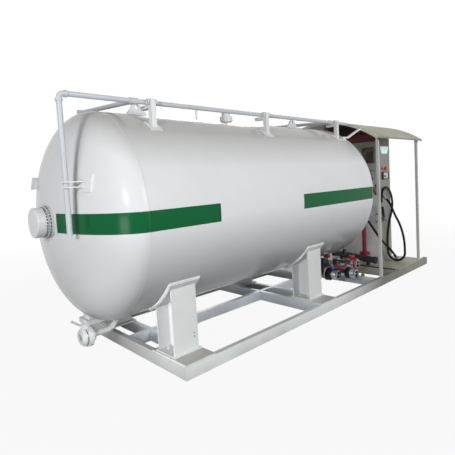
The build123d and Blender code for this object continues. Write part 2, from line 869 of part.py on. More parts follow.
def switch_solid():
    """The small framed box under the button."""
    box = near_panel(cabinet_middle, switch_rise_share, switch_width, switch_height, switch_depth)
    wall = switch_depth / 4
    width = switch_width - switch_depth
    height = switch_height - switch_depth
    window = near_panel(cabinet_middle, switch_rise_share, width, height, switch_depth + wall)
    back = near_panel(cabinet_middle, switch_rise_share, switch_width, switch_height, switch_depth - wall)
    return box - (window - back)


def cabinet_controls():
    """The button and the framed box on the cabinet's hose side."""
    return Compound([*button_solid().solids(), *switch_solid().solids()])


def route_points(route, shares):
    """A hose's route in the part's frame."""
    return [
        Vector(cabinet_left + along, cabinet_near - out, deck_top + cabinet_height * share)
        for (along, out), share in zip(route, shares)
    ]


hose_points = route_points(hose_route, hose_rise_shares)
side_hose_points = route_points(side_hose_route, side_hose_rise_shares)


def bend_radii(points):
    """For each corner the largest arc that its two runs leave room for."""
    radii = []
    for before, corner, after in zip(points, points[1:], points[2:]):
        first = corner - before
        second = after - corner
        half_turn = radians(first.get_angle(second)) / 2
        radii.append(run_share * min(first.length, second.length) / tan(half_turn))
    return radii


def hose(points, name):
    """A hose of straight runs and tangent arcs along its route."""
    radii = bend_radii(points)
    path = FilletPolyline(*points, radius=radii)
    section = Plane(origin=points[0], z_dir=points[1] - points[0]) * Circle(hose_radius)
    tube = sweep(section, path=path)
    full = path.length * section.area
    print(name, "length", round(path.length), "volume share", round(tube.volume / full, 4))
    print(name, "radii", [round(r) for r in radii])
    return tube


def swivel(points, face_point):
    """An elbow from the cabinet's face to the start of a hose, in line with its first run."""
    way = (points[1] - points[0]).normalized()
    centre = points[0] - way * swivel_length
    return bent_pipe((face_point(centre), centre, points[0]), swivel_radius, swivel_bend)


def hose_swivels():
    """The two hose outlets: one on the hose side and one on the tank side of the cabinet."""
    near = swivel(hose_points, lambda centre: Vector(centre.X, cabinet_near, centre.Z))
    side = swivel(side_hose_points, lambda centre: Vector(cabinet_left, centre.Y, centre.Z))
    return Compound([*near.solids(), *side.solids()])


def nozzle_axis():
    """The hose's last point and the direction in which the nozzle carries on."""
    end = hose_points[-1]
    return end, (end - hose_points[-2]).normalized()


def nozzle_gun():
    """The filling nozzle on the hose's end: a body and a narrower spout."""
    start, way = nozzle_axis()
    body_end = start + way * nozzle_body_length
    body = rod(start, body_end, nozzle_body_radius)
    return body + rod(body_end, body_end + way * nozzle_spout_length, nozzle_spout_radius)


def nozzle_holster():
    """A bent plate on the cabinet that holds the nozzle's body, with a hole for the spout."""
    start, way = nozzle_axis()
    seat = start + way * (nozzle_body_length + seat_gap)
    half = holster_width / 2
    z0 = seat.Z - holster_wall
    front = seat.Y - half
    shelf = slab(seat.X - half, seat.X + half, front, cabinet_near, z0, seat.Z - seat_gap)
    back_face = cabinet_near - holster_wall
    back = slab(seat.X - half, seat.X + half, back_face, cabinet_near, z0, z0 + holster_height)
    hole = rod(start, seat + way * nozzle_spout_length, nozzle_spout_radius + seat_gap)
    body = rod(start, seat, nozzle_body_radius + seat_gap)
    return shelf + back - hole - body


def side_hose_end():
    """The coupling on the second hose's end, lying on the deck."""
    end = side_hose_points[-1]
    way = (end - side_hose_points[-2]).normalized()
    return rod(end, end + way * hose_end_length, hose_end_radius)


def pump():
    """The vane pump: a round body with end covers on a foot."""
    x = bay_left + pump_offset
    shares = (
        (0, 0), (0, 0.5), (0.12, 0.5), (0.12, 0.86), (0.3, 0.86), (0.3, 1),
        (0.7, 1), (0.7, 0.86), (1, 0.86), (1, 0),
    )
    outline = [(along * pump_length, out * pump_radius) for along, out in shares]
    body = turned(outline, (x, pump_start_reach, pump_axis_height), (0, 1, 0), (0, 0, 1))
    return body + machine_foot(x, pump_start_reach + pump_length / 2, pump_foot_length, pump_radius)


def machine_foot(x, y, length, radius):
    """A block foot from the pump plate up into a machine's body."""
    half = radius * foot_width_share
    y0 = y - length * foot_length_share / 2
    y1 = y + length * foot_length_share / 2
    return slab(x - half, x + half, y0, y1, pump_plate_top, pump_axis_height)


def motor():
    """The pump's motor with its fan cover and the shaft coupling."""
    x = bay_left + pump_offset
    start = pump_start_reach + pump_length
    y = start + motor_gap
    shares = (
        (0, 0), (0, 0.8), (0.06, 0.8), (0.06, 1), (0.78, 1), (0.78, 0.94), (0.97, 0.94), (1, 0.8), (1, 0),
    )
    outline = [(along * motor_length, out * motor_radius) for along, out in shares]
    body = turned(outline, (x, y, pump_axis_height), (0, 1, 0), (0, 0, 1))
    shaft = rod((x, start, pump_axis_height), (x, y, pump_axis_height), shaft_radius)
    return body + shaft + machine_foot(x, y + motor_length / 2, motor_foot_length, motor_radius)


def filling_header():
    """The pipe that feeds the couplings, with a stub to the pump and one up to the third coupling."""
    y = -header_pipe_reach
    z = header_pipe_height
    main = rod((bay_left + header_pipe_start, y, z), (bay_left + header_pipe_end, y, z), header_pipe_radius)
    x = bay_left + pump_offset
    main += rod((x, y, z), (x, pump_start_reach, z), header_stub_radius)
    top = coupling_heights[2] + header_pipe_radius
    x = bay_left + coupling_offsets[2]
    return main + rod((x, y, z), (x, y, top), header_pipe_radius)


def filling_coupling(index):
    """One filling coupling on the header: neck, valve body, flange and the threaded end."""
    shares = (
        (0, 0), (0, 0.5), (0.14, 0.5), (0.14, 0.74), (0.4, 0.74), (0.4, 1), (0.48, 1), (0.48, 0.66),
        (0.62, 0.66), (0.62, 0.8), (0.78, 0.8), (0.78, 0.6), (1, 0.6), (1, 0),
    )
    start = header_pipe_reach + header_pipe_radius + seat_gap
    length = coupling_reaches[index] - start
    outline = [(along * length, out * coupling_radius) for along, out in shares]
    at = (bay_left + coupling_offsets[index], -start, coupling_heights[index])
    return turned(outline, at, (0, -1, 0), (0, 0, 1))


def coupling_lever(index):
    """A valve's lever: a stem on the body and a flat handle."""
    start = header_pipe_reach + header_pipe_radius + seat_gap
    length = coupling_reaches[index] - start
    x = bay_left + coupling_offsets[index]
    y = -start - length * lever_place_share
    z = coupling_heights[index]
    top = z + coupling_radius + lever_stem_height
    stem = rod((x, y, z), (x, y, top), lever_stem_radius)
    half = lever_width / 2
    handle = slab(x - lever_length, x + half, y - half, y + half, top, top + lever_thickness)
    handle = fillet(handle.edges().filter_by(Axis.Z), half * lever_round_share)
    body_radius = coupling_radius * lever_seat_share + seat_gap
    body = rod((x, -start, z), (x, -coupling_reaches[index], z), body_radius)
    return stem + handle - body


def red_pipe():
    """The red riser by the cabinet: a stub from the deck, a pair of flanges and a bend into the cabinet."""
    x = bay_left + red_pipe_offset
    y = -red_pipe_reach
    top = red_pipe_top
    points = ((x, y, deck_top), (x, y, top), (cabinet_left, y, top))
    pipe = bent_pipe(points, red_pipe_radius, red_pipe_bend)
    low = red_pipe_flange_height - red_pipe_flange_thickness
    high = red_pipe_flange_height + red_pipe_flange_thickness
    flanges = rod((x, y, low), (x, y, high), red_pipe_flange_radius)
    return pipe + flanges


def return_pipe():
    """The dark pipe across the deck's edge, falling towards the hose side, on two stands."""
    x = bay_left + return_pipe_offset
    far = Vector(x, return_pipe_far_reach, return_pipe_far_height)
    near = Vector(x, -return_pipe_near_reach, return_pipe_near_height)
    way = (near - far).normalized()
    pipe = rod(far, near, return_pipe_radius)
    pipe += rod(near - way * return_pipe_collar_length, near, return_pipe_collar)
    pipe += rod(far, far + way * return_pipe_collar_length, return_pipe_collar)
    half = return_pipe_stand_width / 2
    for share in return_pipe_stand_shares:
        at = far + (near - far) * share
        pipe += slab(x - half, x + half, at.Y - half, at.Y + half, deck_top, at.Z)
    return pipe


def pressure_gauge():
    """A round gauge on an upright stem from the third filling coupling."""
    shares = ((0, 0), (0, 0.86), (0.2, 1), (0.86, 1), (0.86, 0.9), (0.94, 0.88), (0.94, 0))
    outline = [(along * gauge_depth, out * gauge_radius) for along, out in shares]
    x = bay_left + coupling_offsets[-1]
    dial = turned(outline, (x, -gauge_reach + gauge_depth / 2, gauge_height), (0, -1, 0), (0, 0, 1))
    stem = rod((x, -gauge_reach, coupling_heights[-1]), (x, -gauge_reach, gauge_height), gauge_stem_radius)
    start = header_pipe_reach + header_pipe_radius + seat_gap
    end = (x, -coupling_reaches[-1], coupling_heights[-1])
    body = rod((x, -start, coupling_heights[-1]), end, coupling_radius * lever_seat_share + seat_gap)
    return dial + (stem - body)


def brass_valve():
    """The small brass valve on a cross channel by the pump: a hexagonal body, a neck and a cap."""
    x = pump_bay_right + beam_flange / 2
    y = -half_width + brass_valve_inset
    across = RegularPolygon(brass_valve_radius, side_count=6)
    third = brass_valve_height / 3
    top = beam_height + brass_valve_height
    body = extrude(Pos(x, y, beam_height) * across, amount=third)
    neck = rod((x, y, beam_height), (x, y, top), brass_valve_radius / 2)
    cap = rod((x, y, top - third), (x, y, top), brass_valve_radius)
    return body + neck + cap


nodes = {
    "skid_rail_near": skid_rail(-1),
    "skid_rail_far": skid_rail(1),
    "end_beam_left": end_beam_left(),
    "cross_beams": cross_beams(),
    "centre_beams": centre_beams(),
    "deck_plate": deck_plate(),
    "gutter_tray": gutter_tray(),
    "pump_plate": pump_plate(),
    "saddle_base_plates": Compound([plate for x in saddle_places for plate in base_plates(x)]),
    "saddle_pads": Compound([pad for x in saddle_places for pad in saddle_pads(x)]),
    "tank_barrel": tank_barrel(),
    "tank_head_left": tank_head(tank_left, -1),
    "tank_head_right": tank_head(tank_right, 1),
    "nozzle_flange": nozzle_flange(),
    "nozzle_cap": nozzle_cap(),
    "spray_riser": spray_riser(),
    "spray_main_near": spray_main(-1),
    "spray_main_far": spray_main(1),
    "spray_supports": Compound([support_post(x, -1, main_height) for x in support_places]),
    "spray_cross_pipes": Compound([cross_pipe(x) for x in cross_pipe_places]),
    "riser_bracket": riser_bracket(),
    "head_block": head_block(),
    "top_valves": top_valves(),
    "drain_pad": drain_pad(),
    "drain_union": drain_union(),
    "drain_pipe": drain_pipe(),
    "canopy_roof": canopy_roof(),
    "canopy_brace": canopy_brace(),
    "dispenser_cabinet": dispenser_cabinet(),
    "header_panel": header_panel(),
    "cabinet_lamp": cabinet_lamp(),
    "cabinet_controls": cabinet_controls(),
    "hose_swivels": hose_swivels(),
    "dispenser_hose": hose(hose_points, "dispenser_hose"),
    "side_hose": hose(side_hose_points, "side_hose"),
    "nozzle_gun": nozzle_gun(),
    "nozzle_holster": nozzle_holster(),
    "side_hose_end": side_hose_end(),
    "pump": pump(),
    "motor": motor(),
    "filling_header": filling_header(),
    "filling_couplings": Compound([filling_coupling(i) for i in range(len(coupling_offsets))]),
    "coupling_levers": Compound([coupling_lever(i) for i in range(len(coupling_offsets) - 1)]),
    "pressure_gauge": pressure_gauge(),
    "brass_valve": brass_valve(),
    "return_pipe": return_pipe(),
    "red_pipe": red_pipe(),
}
for number, x in enumerate(saddle_places, 1):
    nodes[f"saddle_{number}_leg_near"] = saddle_leg(x, -1)
    nodes[f"saddle_{number}_leg_far"] = saddle_leg(x, 1)
for number, x in enumerate(lug_places, 1):
    nodes[f"lifting_lug_{number}"] = lifting_lug(x)
for end, offset in zip(("left", "right"), post_offsets):
    nodes[f"canopy_post_{end}_near"] = canopy_post(offset, -1)
    nodes[f"canopy_post_{end}_far"] = canopy_post(offset, 1)

os.makedirs("parts", exist_ok=True)
for name, shape in nodes.items():
    export_step(shape, f"parts/{name}.step")
print(len(nodes), "nodes")
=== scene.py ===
# %% [markdown]
# A gas filling station on a skid, dressed in Blender around its CAD frame.
# The CAD solids give every size and place. This lesson adds the camera, the light, the hoses,
# the paints and the small pieces that make the station look used and real.

# %% Load the frame
from math import cos, pi, radians, sin

import bmesh
import bpy
from mathutils import Matrix, Vector


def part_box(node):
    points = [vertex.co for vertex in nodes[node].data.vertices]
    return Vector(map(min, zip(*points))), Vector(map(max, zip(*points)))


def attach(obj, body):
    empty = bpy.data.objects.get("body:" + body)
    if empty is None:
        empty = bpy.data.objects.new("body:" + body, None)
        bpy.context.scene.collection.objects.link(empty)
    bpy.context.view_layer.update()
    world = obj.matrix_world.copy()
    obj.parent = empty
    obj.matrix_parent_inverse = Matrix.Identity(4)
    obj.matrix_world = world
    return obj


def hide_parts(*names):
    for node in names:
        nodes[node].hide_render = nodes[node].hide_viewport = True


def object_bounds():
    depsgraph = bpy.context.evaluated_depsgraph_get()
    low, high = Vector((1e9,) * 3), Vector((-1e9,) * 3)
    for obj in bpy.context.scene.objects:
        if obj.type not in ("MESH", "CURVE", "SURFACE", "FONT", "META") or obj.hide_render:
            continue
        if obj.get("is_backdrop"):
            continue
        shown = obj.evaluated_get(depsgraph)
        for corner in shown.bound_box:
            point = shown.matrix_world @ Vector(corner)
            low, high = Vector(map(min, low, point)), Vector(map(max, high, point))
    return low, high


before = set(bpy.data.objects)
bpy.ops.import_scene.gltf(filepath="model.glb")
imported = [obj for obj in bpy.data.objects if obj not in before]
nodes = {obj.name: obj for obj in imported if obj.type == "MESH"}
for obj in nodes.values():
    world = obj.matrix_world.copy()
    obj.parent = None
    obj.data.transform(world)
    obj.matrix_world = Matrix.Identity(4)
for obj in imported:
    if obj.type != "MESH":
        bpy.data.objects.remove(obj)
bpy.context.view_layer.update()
scene = bpy.context.scene

# %% [markdown]
# The camera stands at eye height near the outer head, turned along the tank.
# Its place, turn and focal length come from matching the tank's outline, the skid's corners and
# the posts, so that the model fills the picture as the real station does.

# %% Camera
IMAGE_SIZE = 455.0
FOCAL_PX = 395.1513
CENTRE_PX = (233.8844, 206.0035)
CAMERA_PLACE = Vector((-3.846, -3.3323, 1.557))
YAW, PITCH, ROLL = radians(43.8552), radians(3.9037), radians(-3.0939)

right = Vector((cos(YAW), -sin(YAW), 0))
forward = Vector((sin(YAW) * cos(PITCH), cos(YAW) * cos(PITCH), -sin(PITCH)))
up = right.cross(forward)
right_rolled = right * cos(ROLL) + up * sin(ROLL)
up_rolled = up * cos(ROLL) - right * sin(ROLL)

camera_data = bpy.data.cameras.new("station_camera")
camera_data.sensor_width = 36.0
camera_data.lens = FOCAL_PX * camera_data.sensor_width / IMAGE_SIZE
camera_data.shift_x = (IMAGE_SIZE / 2 - CENTRE_PX[0]) / IMAGE_SIZE
camera_data.shift_y = (CENTRE_PX[1] - IMAGE_SIZE / 2) / IMAGE_SIZE
camera = bpy.data.objects.new("station_camera", camera_data)
scene.collection.objects.link(camera)
turn = Matrix((right_rolled, up_rolled, -forward)).transposed()
camera.matrix_world = Matrix.Translation(CAMERA_PLACE) @ turn.to_4x4()
scene.camera = camera
print("lens", round(camera_data.lens, 2), "mm")

# %% [markdown]
# Every colour is written as a screen colour and turned to linear light by one function.
# One more function adds a node, sets it and links it, so a material reads from top to bottom.

# %% Colour and node helpers
def linear(hex_colour):
    """A hex screen colour as linear RGBA."""
    channels = [int(hex_colour[i:i + 2], 16) / 255 for i in (1, 3, 5)]
    return (*[c / 12.92 if c <= 0.04045 else ((c + 0.055) / 1.055) ** 2.4 for c in channels], 1.0)


def add(tree, kind, inputs=None, **settings):
    """One node in a tree, with its settings, values and links. A node as a value means its first output.

    A Map Range reads from input 1 to input 2 and gives from input 3 to input 4.
    A Mix of colours has the lower colour at input 6 and the upper one at input 7.
    """
    new = tree.nodes.new(kind)
    for key, value in settings.items():
        setattr(new, key, value)
    for key, value in (inputs or {}).items():
        if isinstance(value, bpy.types.Node):
            value = value.outputs[0]
        if isinstance(value, bpy.types.NodeSocket):
            tree.links.new(value, new.inputs[key])
        else:
            new.inputs[key].default_value = value
    return new


def start_material(name):
    """A new material with its tree, shader and the piece's own coordinates."""
    material = bpy.data.materials.new(name)
    material.use_nodes = True
    tree = material.node_tree
    shader = tree.nodes["Principled BSDF"]
    place = add(tree, "ShaderNodeTexCoord").outputs["Object"]
    return material, tree, shader, place


# %% [markdown]
# The stage is a wide pale floor under an even sky, with four soft lamps on the hose side, a large
# one behind, so that the far side reads as well, and a small one that shines into the bay.
# The floor and the sky look white to the camera, as in a catalogue picture, while the floor
# still takes the station's shadow and fades to plain white further out.

# %% Floor and sky
SKY_LIGHT = 0.17
FLOOR_HALF, FADE_START, FADE_END = 30.0, 4.0, 9.0
FLOOR_WHITE_SHARE = 0.93


def looked_at(tree):
    """One for the rays that look at a surface or its reflection, zero for those that only light it."""
    path = add(tree, "ShaderNodeLightPath")
    seen = path.outputs["Is Camera Ray"]
    for kind in ("Is Glossy Ray", "Is Transmission Ray"):
        seen = add(tree, "ShaderNodeMath", {0: seen, 1: path.outputs[kind]}, operation="MAXIMUM")
    return seen


world = bpy.data.worlds.new("studio_sky")
scene.world = world
world.use_nodes = True
sky = world.node_tree
strength = add(sky, "ShaderNodeMapRange", {"Value": looked_at(sky), 3: SKY_LIGHT, 4: 1.0})
background = sky.nodes["Background"]
sky.links.new(strength.outputs[0], background.inputs["Strength"])
background.inputs["Color"].default_value = (1, 1, 1, 1)

floor_mesh = bpy.data.meshes.new("floor")
signs = ((-1, -1), (1, -1), (1, 1), (-1, 1))
floor_mesh.from_pydata([(x * FLOOR_HALF, y * FLOOR_HALF, 0) for x, y in signs], [], [(0, 1, 2, 3)])
floor = bpy.data.objects.new("floor", floor_mesh)
scene.collection.objects.link(floor)
floor_paper, tree, shader, place = start_material("floor_paper")
shader.inputs["Base Color"].default_value = linear("#6f6f6d")
shader.inputs["Roughness"].default_value = 0.9
away = add(tree, "ShaderNodeVectorMath", {0: place}, operation="LENGTH")
fade = add(tree, "ShaderNodeMapRange", {
    "Value": away.outputs["Value"], 1: FADE_START, 2: FADE_END, 3: FLOOR_WHITE_SHARE, 4: 1.0})
share = add(tree, "ShaderNodeMath", {0: looked_at(tree), 1: fade}, operation="MULTIPLY")
white = add(tree, "ShaderNodeEmission", {"Color": (1, 1, 1, 1), "Strength": 1.0})
mix = add(tree, "ShaderNodeMixShader", {0: share, 1: shader, 2: white})
tree.links.new(mix.outputs[0], tree.nodes["Material Output"].inputs["Surface"])
floor_mesh.materials.append(floor_paper)
floor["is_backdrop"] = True
print("floor", FLOOR_HALF * 2, "m wide, sky", SKY_LIGHT)

# %% Lamps
def soft_lamp(name, place, target, size, watts, spread=180):
    """A square soft box that faces a point, with its light spread over an angle in degrees."""
    data = bpy.data.lights.new(name, "AREA")
    data.size = size
    data.energy = watts
    data.spread = radians(spread)
    lamp = bpy.data.objects.new(name, data)
    scene.collection.objects.link(lamp)
    aim = (Vector(target) - Vector(place)).to_track_quat("-Z", "Y")
    lamp.matrix_world = Matrix.Translation(Vector(place)) @ aim.to_matrix().to_4x4()


soft_lamp("key_lamp", (-6.3, -3.4, 2.8), (-2.4, 0, 1.2), 0.8, 117)
soft_lamp("side_lamp", (0.5, -8.6, 4.0), (0.4, 0, 0.8), 3.0, 395)
soft_lamp("low_lamp", (-6.4, -2.6, 0.5), (-2.2, -0.4, 0.5), 1.6, 68)
soft_lamp("leg_lamp", (-4.4, -1.0, 0.35), (-1.95, -0.62, 0.3), 0.6, 1.7, 40)
soft_lamp("back_lamp", (5.5, 7.0, 4.5), (0, 0, 1.0), 4.0, 340)
soft_lamp("bay_lamp", (1.0, 2.4, 1.4), (2.086, -0.3, 1.15), 0.9, 2.4, 50)
scene.view_settings.view_transform = "Standard"
print("lamps", len(bpy.data.lights))

# %% [markdown]
# Paint on a station like this is sprayed enamel: smooth, with a faint orange-peel ripple, dust on
# its upper faces, which on the tank also stands for painted shade, painted shade on its undersides and a
# little grime towards the floor. One function mixes those from noise in the piece's own coordinates and
# from the way each face points, so each finish differs only in colour, gloss, dirt and painted shade.

# %% Sprayed paint
# Dust lies in patches about a third of a metre across.
DUST_SPAN = 0.35
# Dust on upward faces, which on the tank also stands for painted shade, and the painted shade of downward
# faces.
DUST_AND_SHADE_COLOUR, UNDERSIDE_SHADE_COLOUR = "#9a958a", "#6d7074"
# Real orange peel is about 3 mm across. It is drawn coarser, so that it shows.
PEEL_SPAN = 0.02


def lay_colour(material, amount, colour):
    """Lays a colour over a material's own colour, by an amount."""
    tree = material.node_tree
    base = tree.nodes["Principled BSDF"].inputs["Base Color"]
    under = base.links[0].from_socket if base.links else tuple(base.default_value)
    mix = add(tree, "ShaderNodeMix", {"Factor": amount, 6: under, 7: linear(colour)}, data_type="RGBA")
    tree.links.new(mix.outputs[2], base)


def sprayed_paint(name, colour, roughness=0.32, dirt="#8b867b", dirt_share=0.18, grime_top=0.0,
                  specular=0.3, dust_and_shade_share=0.0, underside_shade_share=0.0):
    """Sprayed enamel with patches of dirt, grime near the floor, dust on top that can also stand for
    painted shade, and painted shade on the underside.
    """
    material, tree, shader, place = start_material(name)
    shader.inputs["Base Color"].default_value = linear(colour)
    shader.inputs["Specular IOR Level"].default_value = specular
    drift = add(tree, "ShaderNodeTexNoise", {
        "Vector": place, "Scale": 1 / DUST_SPAN, "Detail": 6.0, "Roughness": 0.6})
    amount = add(tree, "ShaderNodeMapRange", {"Value": drift, 1: 0.45, 2: 0.75, 3: 0.0, 4: dirt_share})
    if grime_top:
        height = add(tree, "ShaderNodeSeparateXYZ", {0: place}).outputs["Z"]
        low = add(tree, "ShaderNodeMapRange", {"Value": height, 1: 0.0, 2: grime_top, 3: 0.5, 4: 0.0})
        grime = add(tree, "ShaderNodeMath", {0: low, 1: drift}, operation="MULTIPLY")
        amount = add(tree, "ShaderNodeMath", {0: amount, 1: grime}, operation="ADD")
    lay_colour(material, amount, dirt)
    facing = add(tree, "ShaderNodeNewGeometry").outputs["Normal"]
    slope = add(tree, "ShaderNodeSeparateXYZ", {0: facing}).outputs["Z"]
    # Upward faces take dust, which on the tank doubles as painted shade, and downward faces take painted
    # shade.
    for start, full, cover, share in (
            (0.42, 0.97, DUST_AND_SHADE_COLOUR, dust_and_shade_share), (-0.05, -0.8, UNDERSIDE_SHADE_COLOUR, underside_shade_share)):
        if share:
            on_face = add(tree, "ShaderNodeMapRange", {"Value": slope, 1: start, 2: full, 3: 0.0, 4: share})
            lay_colour(material, on_face, cover)
    rough = add(tree, "ShaderNodeMapRange", {
        "Value": drift, 1: 0.3, 2: 0.8, 3: roughness * 0.8, 4: roughness * 1.3})
    peel = add(tree, "ShaderNodeTexNoise", {"Vector": place, "Scale": 1 / PEEL_SPAN, "Detail": 2.0})
    ripple = add(tree, "ShaderNodeBump", {"Height": peel, "Strength": 0.04, "Distance": 0.002})
    tree.links.new(rough.outputs[0], shader.inputs["Roughness"])
    tree.links.new(ripple.outputs[0], shader.inputs["Normal"])
    return material


# %% Paints of the station
# Clean enamel on the fittings, with painted shade underneath.
white_enamel = sprayed_paint("white_enamel", "#e0e3e4", 0.3, dirt_share=0.1, underside_shade_share=0.3)
# Beams in the tank's shade look cool, with grime near the floor.
frame_enamel = sprayed_paint("frame_enamel", "#d5dee6", 0.42, dirt_share=0.14, grime_top=0.1)
# Long rails are bright on the side and dusty on top.
rail_enamel = sprayed_paint(
    "rail_enamel", "#e3e8e8", 0.42, dirt_share=0.12, grime_top=0.1, dust_and_shade_share=0.35)
# The end beam is greyer and scuffed.
end_enamel = sprayed_paint("end_enamel", "#c1c4c3", 0.42, dirt="#8b8f92", dirt_share=0.2, grime_top=0.1)
# Legs are smooth and clean, and the flat plates under them hold dust.
leg_enamel = sprayed_paint("leg_enamel", "#d8dbdb", 0.32, dirt_share=0.1)
plate_enamel = sprayed_paint("plate_enamel", "#d9dcda", 0.42, dirt_share=0.2, dust_and_shade_share=0.6)
# Thin posts in a warm off-white, and a deck trodden to a matt beige.
post_enamel = sprayed_paint("post_enamel", "#c3c5bd", 0.4, dirt_share=0.12)
deck_enamel = sprayed_paint("deck_enamel", "#aca896", 0.5, dirt="#857c69", dirt_share=0.3)
# Spray pipes in a cool pale grey, and the cabinet's grey, painted darker as the shade under the roof.
pipe_enamel = sprayed_paint("pipe_enamel", "#c3c9cf", 0.36, dirt_share=0.14)
cabinet_shaded_enamel = sprayed_paint("cabinet_shaded_enamel", "#92908b", 0.4, dirt_share=0.1)
# Pipe red gone dark, and the brighter red of hand levers.
riser_red = sprayed_paint("riser_red", "#7e1d2d", 0.4, dirt="#4e1a1e", dirt_share=0.3)
lever_red = sprayed_paint("lever_red", "#a92530", 0.36, dirt="#6e1418", dirt_share=0.2)
# The maroon band under the roof, and the plate above it, painted almost black as the roof's shade.
header_maroon = sprayed_paint("header_maroon", "#6b2f33", 0.3, dirt="#38161a", dirt_share=0.3)
gable_shade = sprayed_paint("gable_shade", "#3d2d2c", 0.45, dirt="#2b2020", dirt_share=0.3)
# Machine grey on rough cast iron.
machine_paint = sprayed_paint("machine_paint", "#3b4147", 0.45, dirt="#23262a", dirt_share=0.4)
print("paints", len(bpy.data.materials))

# %% [markdown]
# The tank's enamel is the same white with more gloss, and it carries a green band round both
# sides. The band is cut from the piece's own coordinates: a range of heights, less a bare gap in
# the middle, and it stops short of the opening in the outer head.

# %% Tank enamel with the green band
BAND_LOW, BAND_HIGH = 1.210, 1.363
BAND_GAP = (-1.657, -0.498)
BAND_CLEAR, BAND_GREEN = 0.146, "#085f34"


def places_on(material):
    """A material's tree, the place along each axis, and the way that the surface faces."""
    tree = material.node_tree
    place = add(tree, "ShaderNodeTexCoord").outputs["Object"]
    normal = add(tree, "ShaderNodeNewGeometry").outputs["Normal"]
    at, facing = (add(tree, "ShaderNodeSeparateXYZ", {0: vector}).outputs for vector in (place, normal))
    return tree, at, facing


def between(tree, value, low, high):
    """One where a value lies inside a range, otherwise zero."""
    over = add(tree, "ShaderNodeMath", {0: value, 1: low}, operation="GREATER_THAN")
    under = add(tree, "ShaderNodeMath", {0: value, 1: high}, operation="LESS_THAN")
    return add(tree, "ShaderNodeMath", {0: over, 1: under}, operation="MULTIPLY")


# The tank's top takes dust and painted shade, and its underside takes painted shade.
tank_enamel = sprayed_paint(
    "tank_enamel", "#e2e4e6", 0.2, dirt_share=0.06, specular=0.12, dust_and_shade_share=0.75, underside_shade_share=0.75)
tree, at, facing = places_on(tank_enamel)
band = between(tree, at["Z"], BAND_LOW, BAND_HIGH)
gap = between(tree, at["X"], *BAND_GAP)
beside = add(tree, "ShaderNodeMath", {0: at["Y"]}, operation="ABSOLUTE")
clear = add(tree, "ShaderNodeMath", {0: beside, 1: BAND_CLEAR}, operation="GREATER_THAN")
kept = add(tree, "ShaderNodeMath", {0: 1.0, 1: gap}, operation="SUBTRACT")
for mask in (kept, clear):
    band = add(tree, "ShaderNodeMath", {0: band, 1: mask}, operation="MULTIPLY")
lay_colour(tank_enamel, band, BAND_GREEN)
print("band from", BAND_LOW, "to", BAND_HIGH, "m")

# %% [markdown]
# The frame's enamel is browner on the beam in front of the narrow gutter before the deck, and painted dark
# inside the gutter as its shade.
# Each mask is a range in the piece's own coordinates.

# %% Brown tone and painted shade at the gutter
# A browner tone on the beam before the gutter, and painted shade inside the gutter.
GUTTER_TONE_AND_SHADE = (((1.690, 1.800), "#8f8876", 0.7), ((1.712, 1.800), "#2b2722", 1.0))
GUTTER_HALF = 0.822
tree, at, facing = places_on(frame_enamel)
across = between(tree, at["Y"], -GUTTER_HALF, GUTTER_HALF)
for span, colour, share in GUTTER_TONE_AND_SHADE:
    along = between(tree, at["X"], *span)
    inside = add(tree, "ShaderNodeMath", {0: across, 1: along}, operation="MULTIPLY")
    amount = add(tree, "ShaderNodeMath", {0: inside, 1: share}, operation="MULTIPLY")
    lay_colour(frame_enamel, amount, colour)
print("gutter stains", len(GUTTER_TONE_AND_SHADE))

# %% [markdown]
# The long rails grow darker towards the dispenser's end. Two
# slow ramps along the rail lay the darker tone on, and then lift it a little paler again.

# %% Darkening along the rails
RAIL_DARKENING = (((0.3, 1.3), "#64635c", 0.95), ((1.4, 2.6), "#99978e", 0.7))
tree, at, facing = places_on(rail_enamel)
for (start, end), colour, share in RAIL_DARKENING:
    ramp = add(tree, "ShaderNodeMapRange", {"Value": at["X"], 1: start, 2: end, 3: 0.0, 4: share})
    lay_colour(rail_enamel, ramp, colour)
print("rail stains", len(RAIL_DARKENING))

# %% [markdown]
# The cabinet's grey is painted shade. On its tank side the lower part is painted pale instead, as
# painted light, and it fades to the grey higher up.

# %% Painted light on the cabinet's tank side
PAINTED_LIGHT_TOP, PAINTED_LIGHT_FULL, PAINTED_LIGHT_COLOUR = 1.75, 1.15, "#d8d9db"
FACES_ALONG = -0.9
tree, at, facing = places_on(cabinet_shaded_enamel)
faces = add(tree, "ShaderNodeMath", {0: facing["X"], 1: FACES_ALONG}, operation="LESS_THAN")
fall = add(tree, "ShaderNodeMapRange", {"Value": at["Z"], 1: PAINTED_LIGHT_TOP, 2: PAINTED_LIGHT_FULL})
amount = add(tree, "ShaderNodeMath", {0: faces, 1: fall}, operation="MULTIPLY")
lay_colour(cabinet_shaded_enamel, amount, PAINTED_LIGHT_COLOUR)
print("painted_light below", PAINTED_LIGHT_TOP, "m")

# %% [markdown]
# The roof sheet is cream. Its underside is painted dark as shade, its near eave fold greyer as painted
# shade and its end fold paler as painted light. The paint follows the surface normal.

# %% Roof paint
ROOF_LIGHT_AND_SHADE = (("Z", -0.3, "#574a45"), ("Y", FACES_ALONG, "#8a877d"), ("X", FACES_ALONG, "#d2cfc4"))
roof_paint = sprayed_paint("roof_paint", "#a19d81", 0.4, dirt="#8d8672", dirt_share=0.25)
tree, at, facing = places_on(roof_paint)
for axis, limit, colour in ROOF_LIGHT_AND_SHADE:
    faces = add(tree, "ShaderNodeMath", {0: facing[axis], 1: limit}, operation="LESS_THAN")
    lay_colour(roof_paint, faces, colour)
print("roof folds", len(ROOF_LIGHT_AND_SHADE))
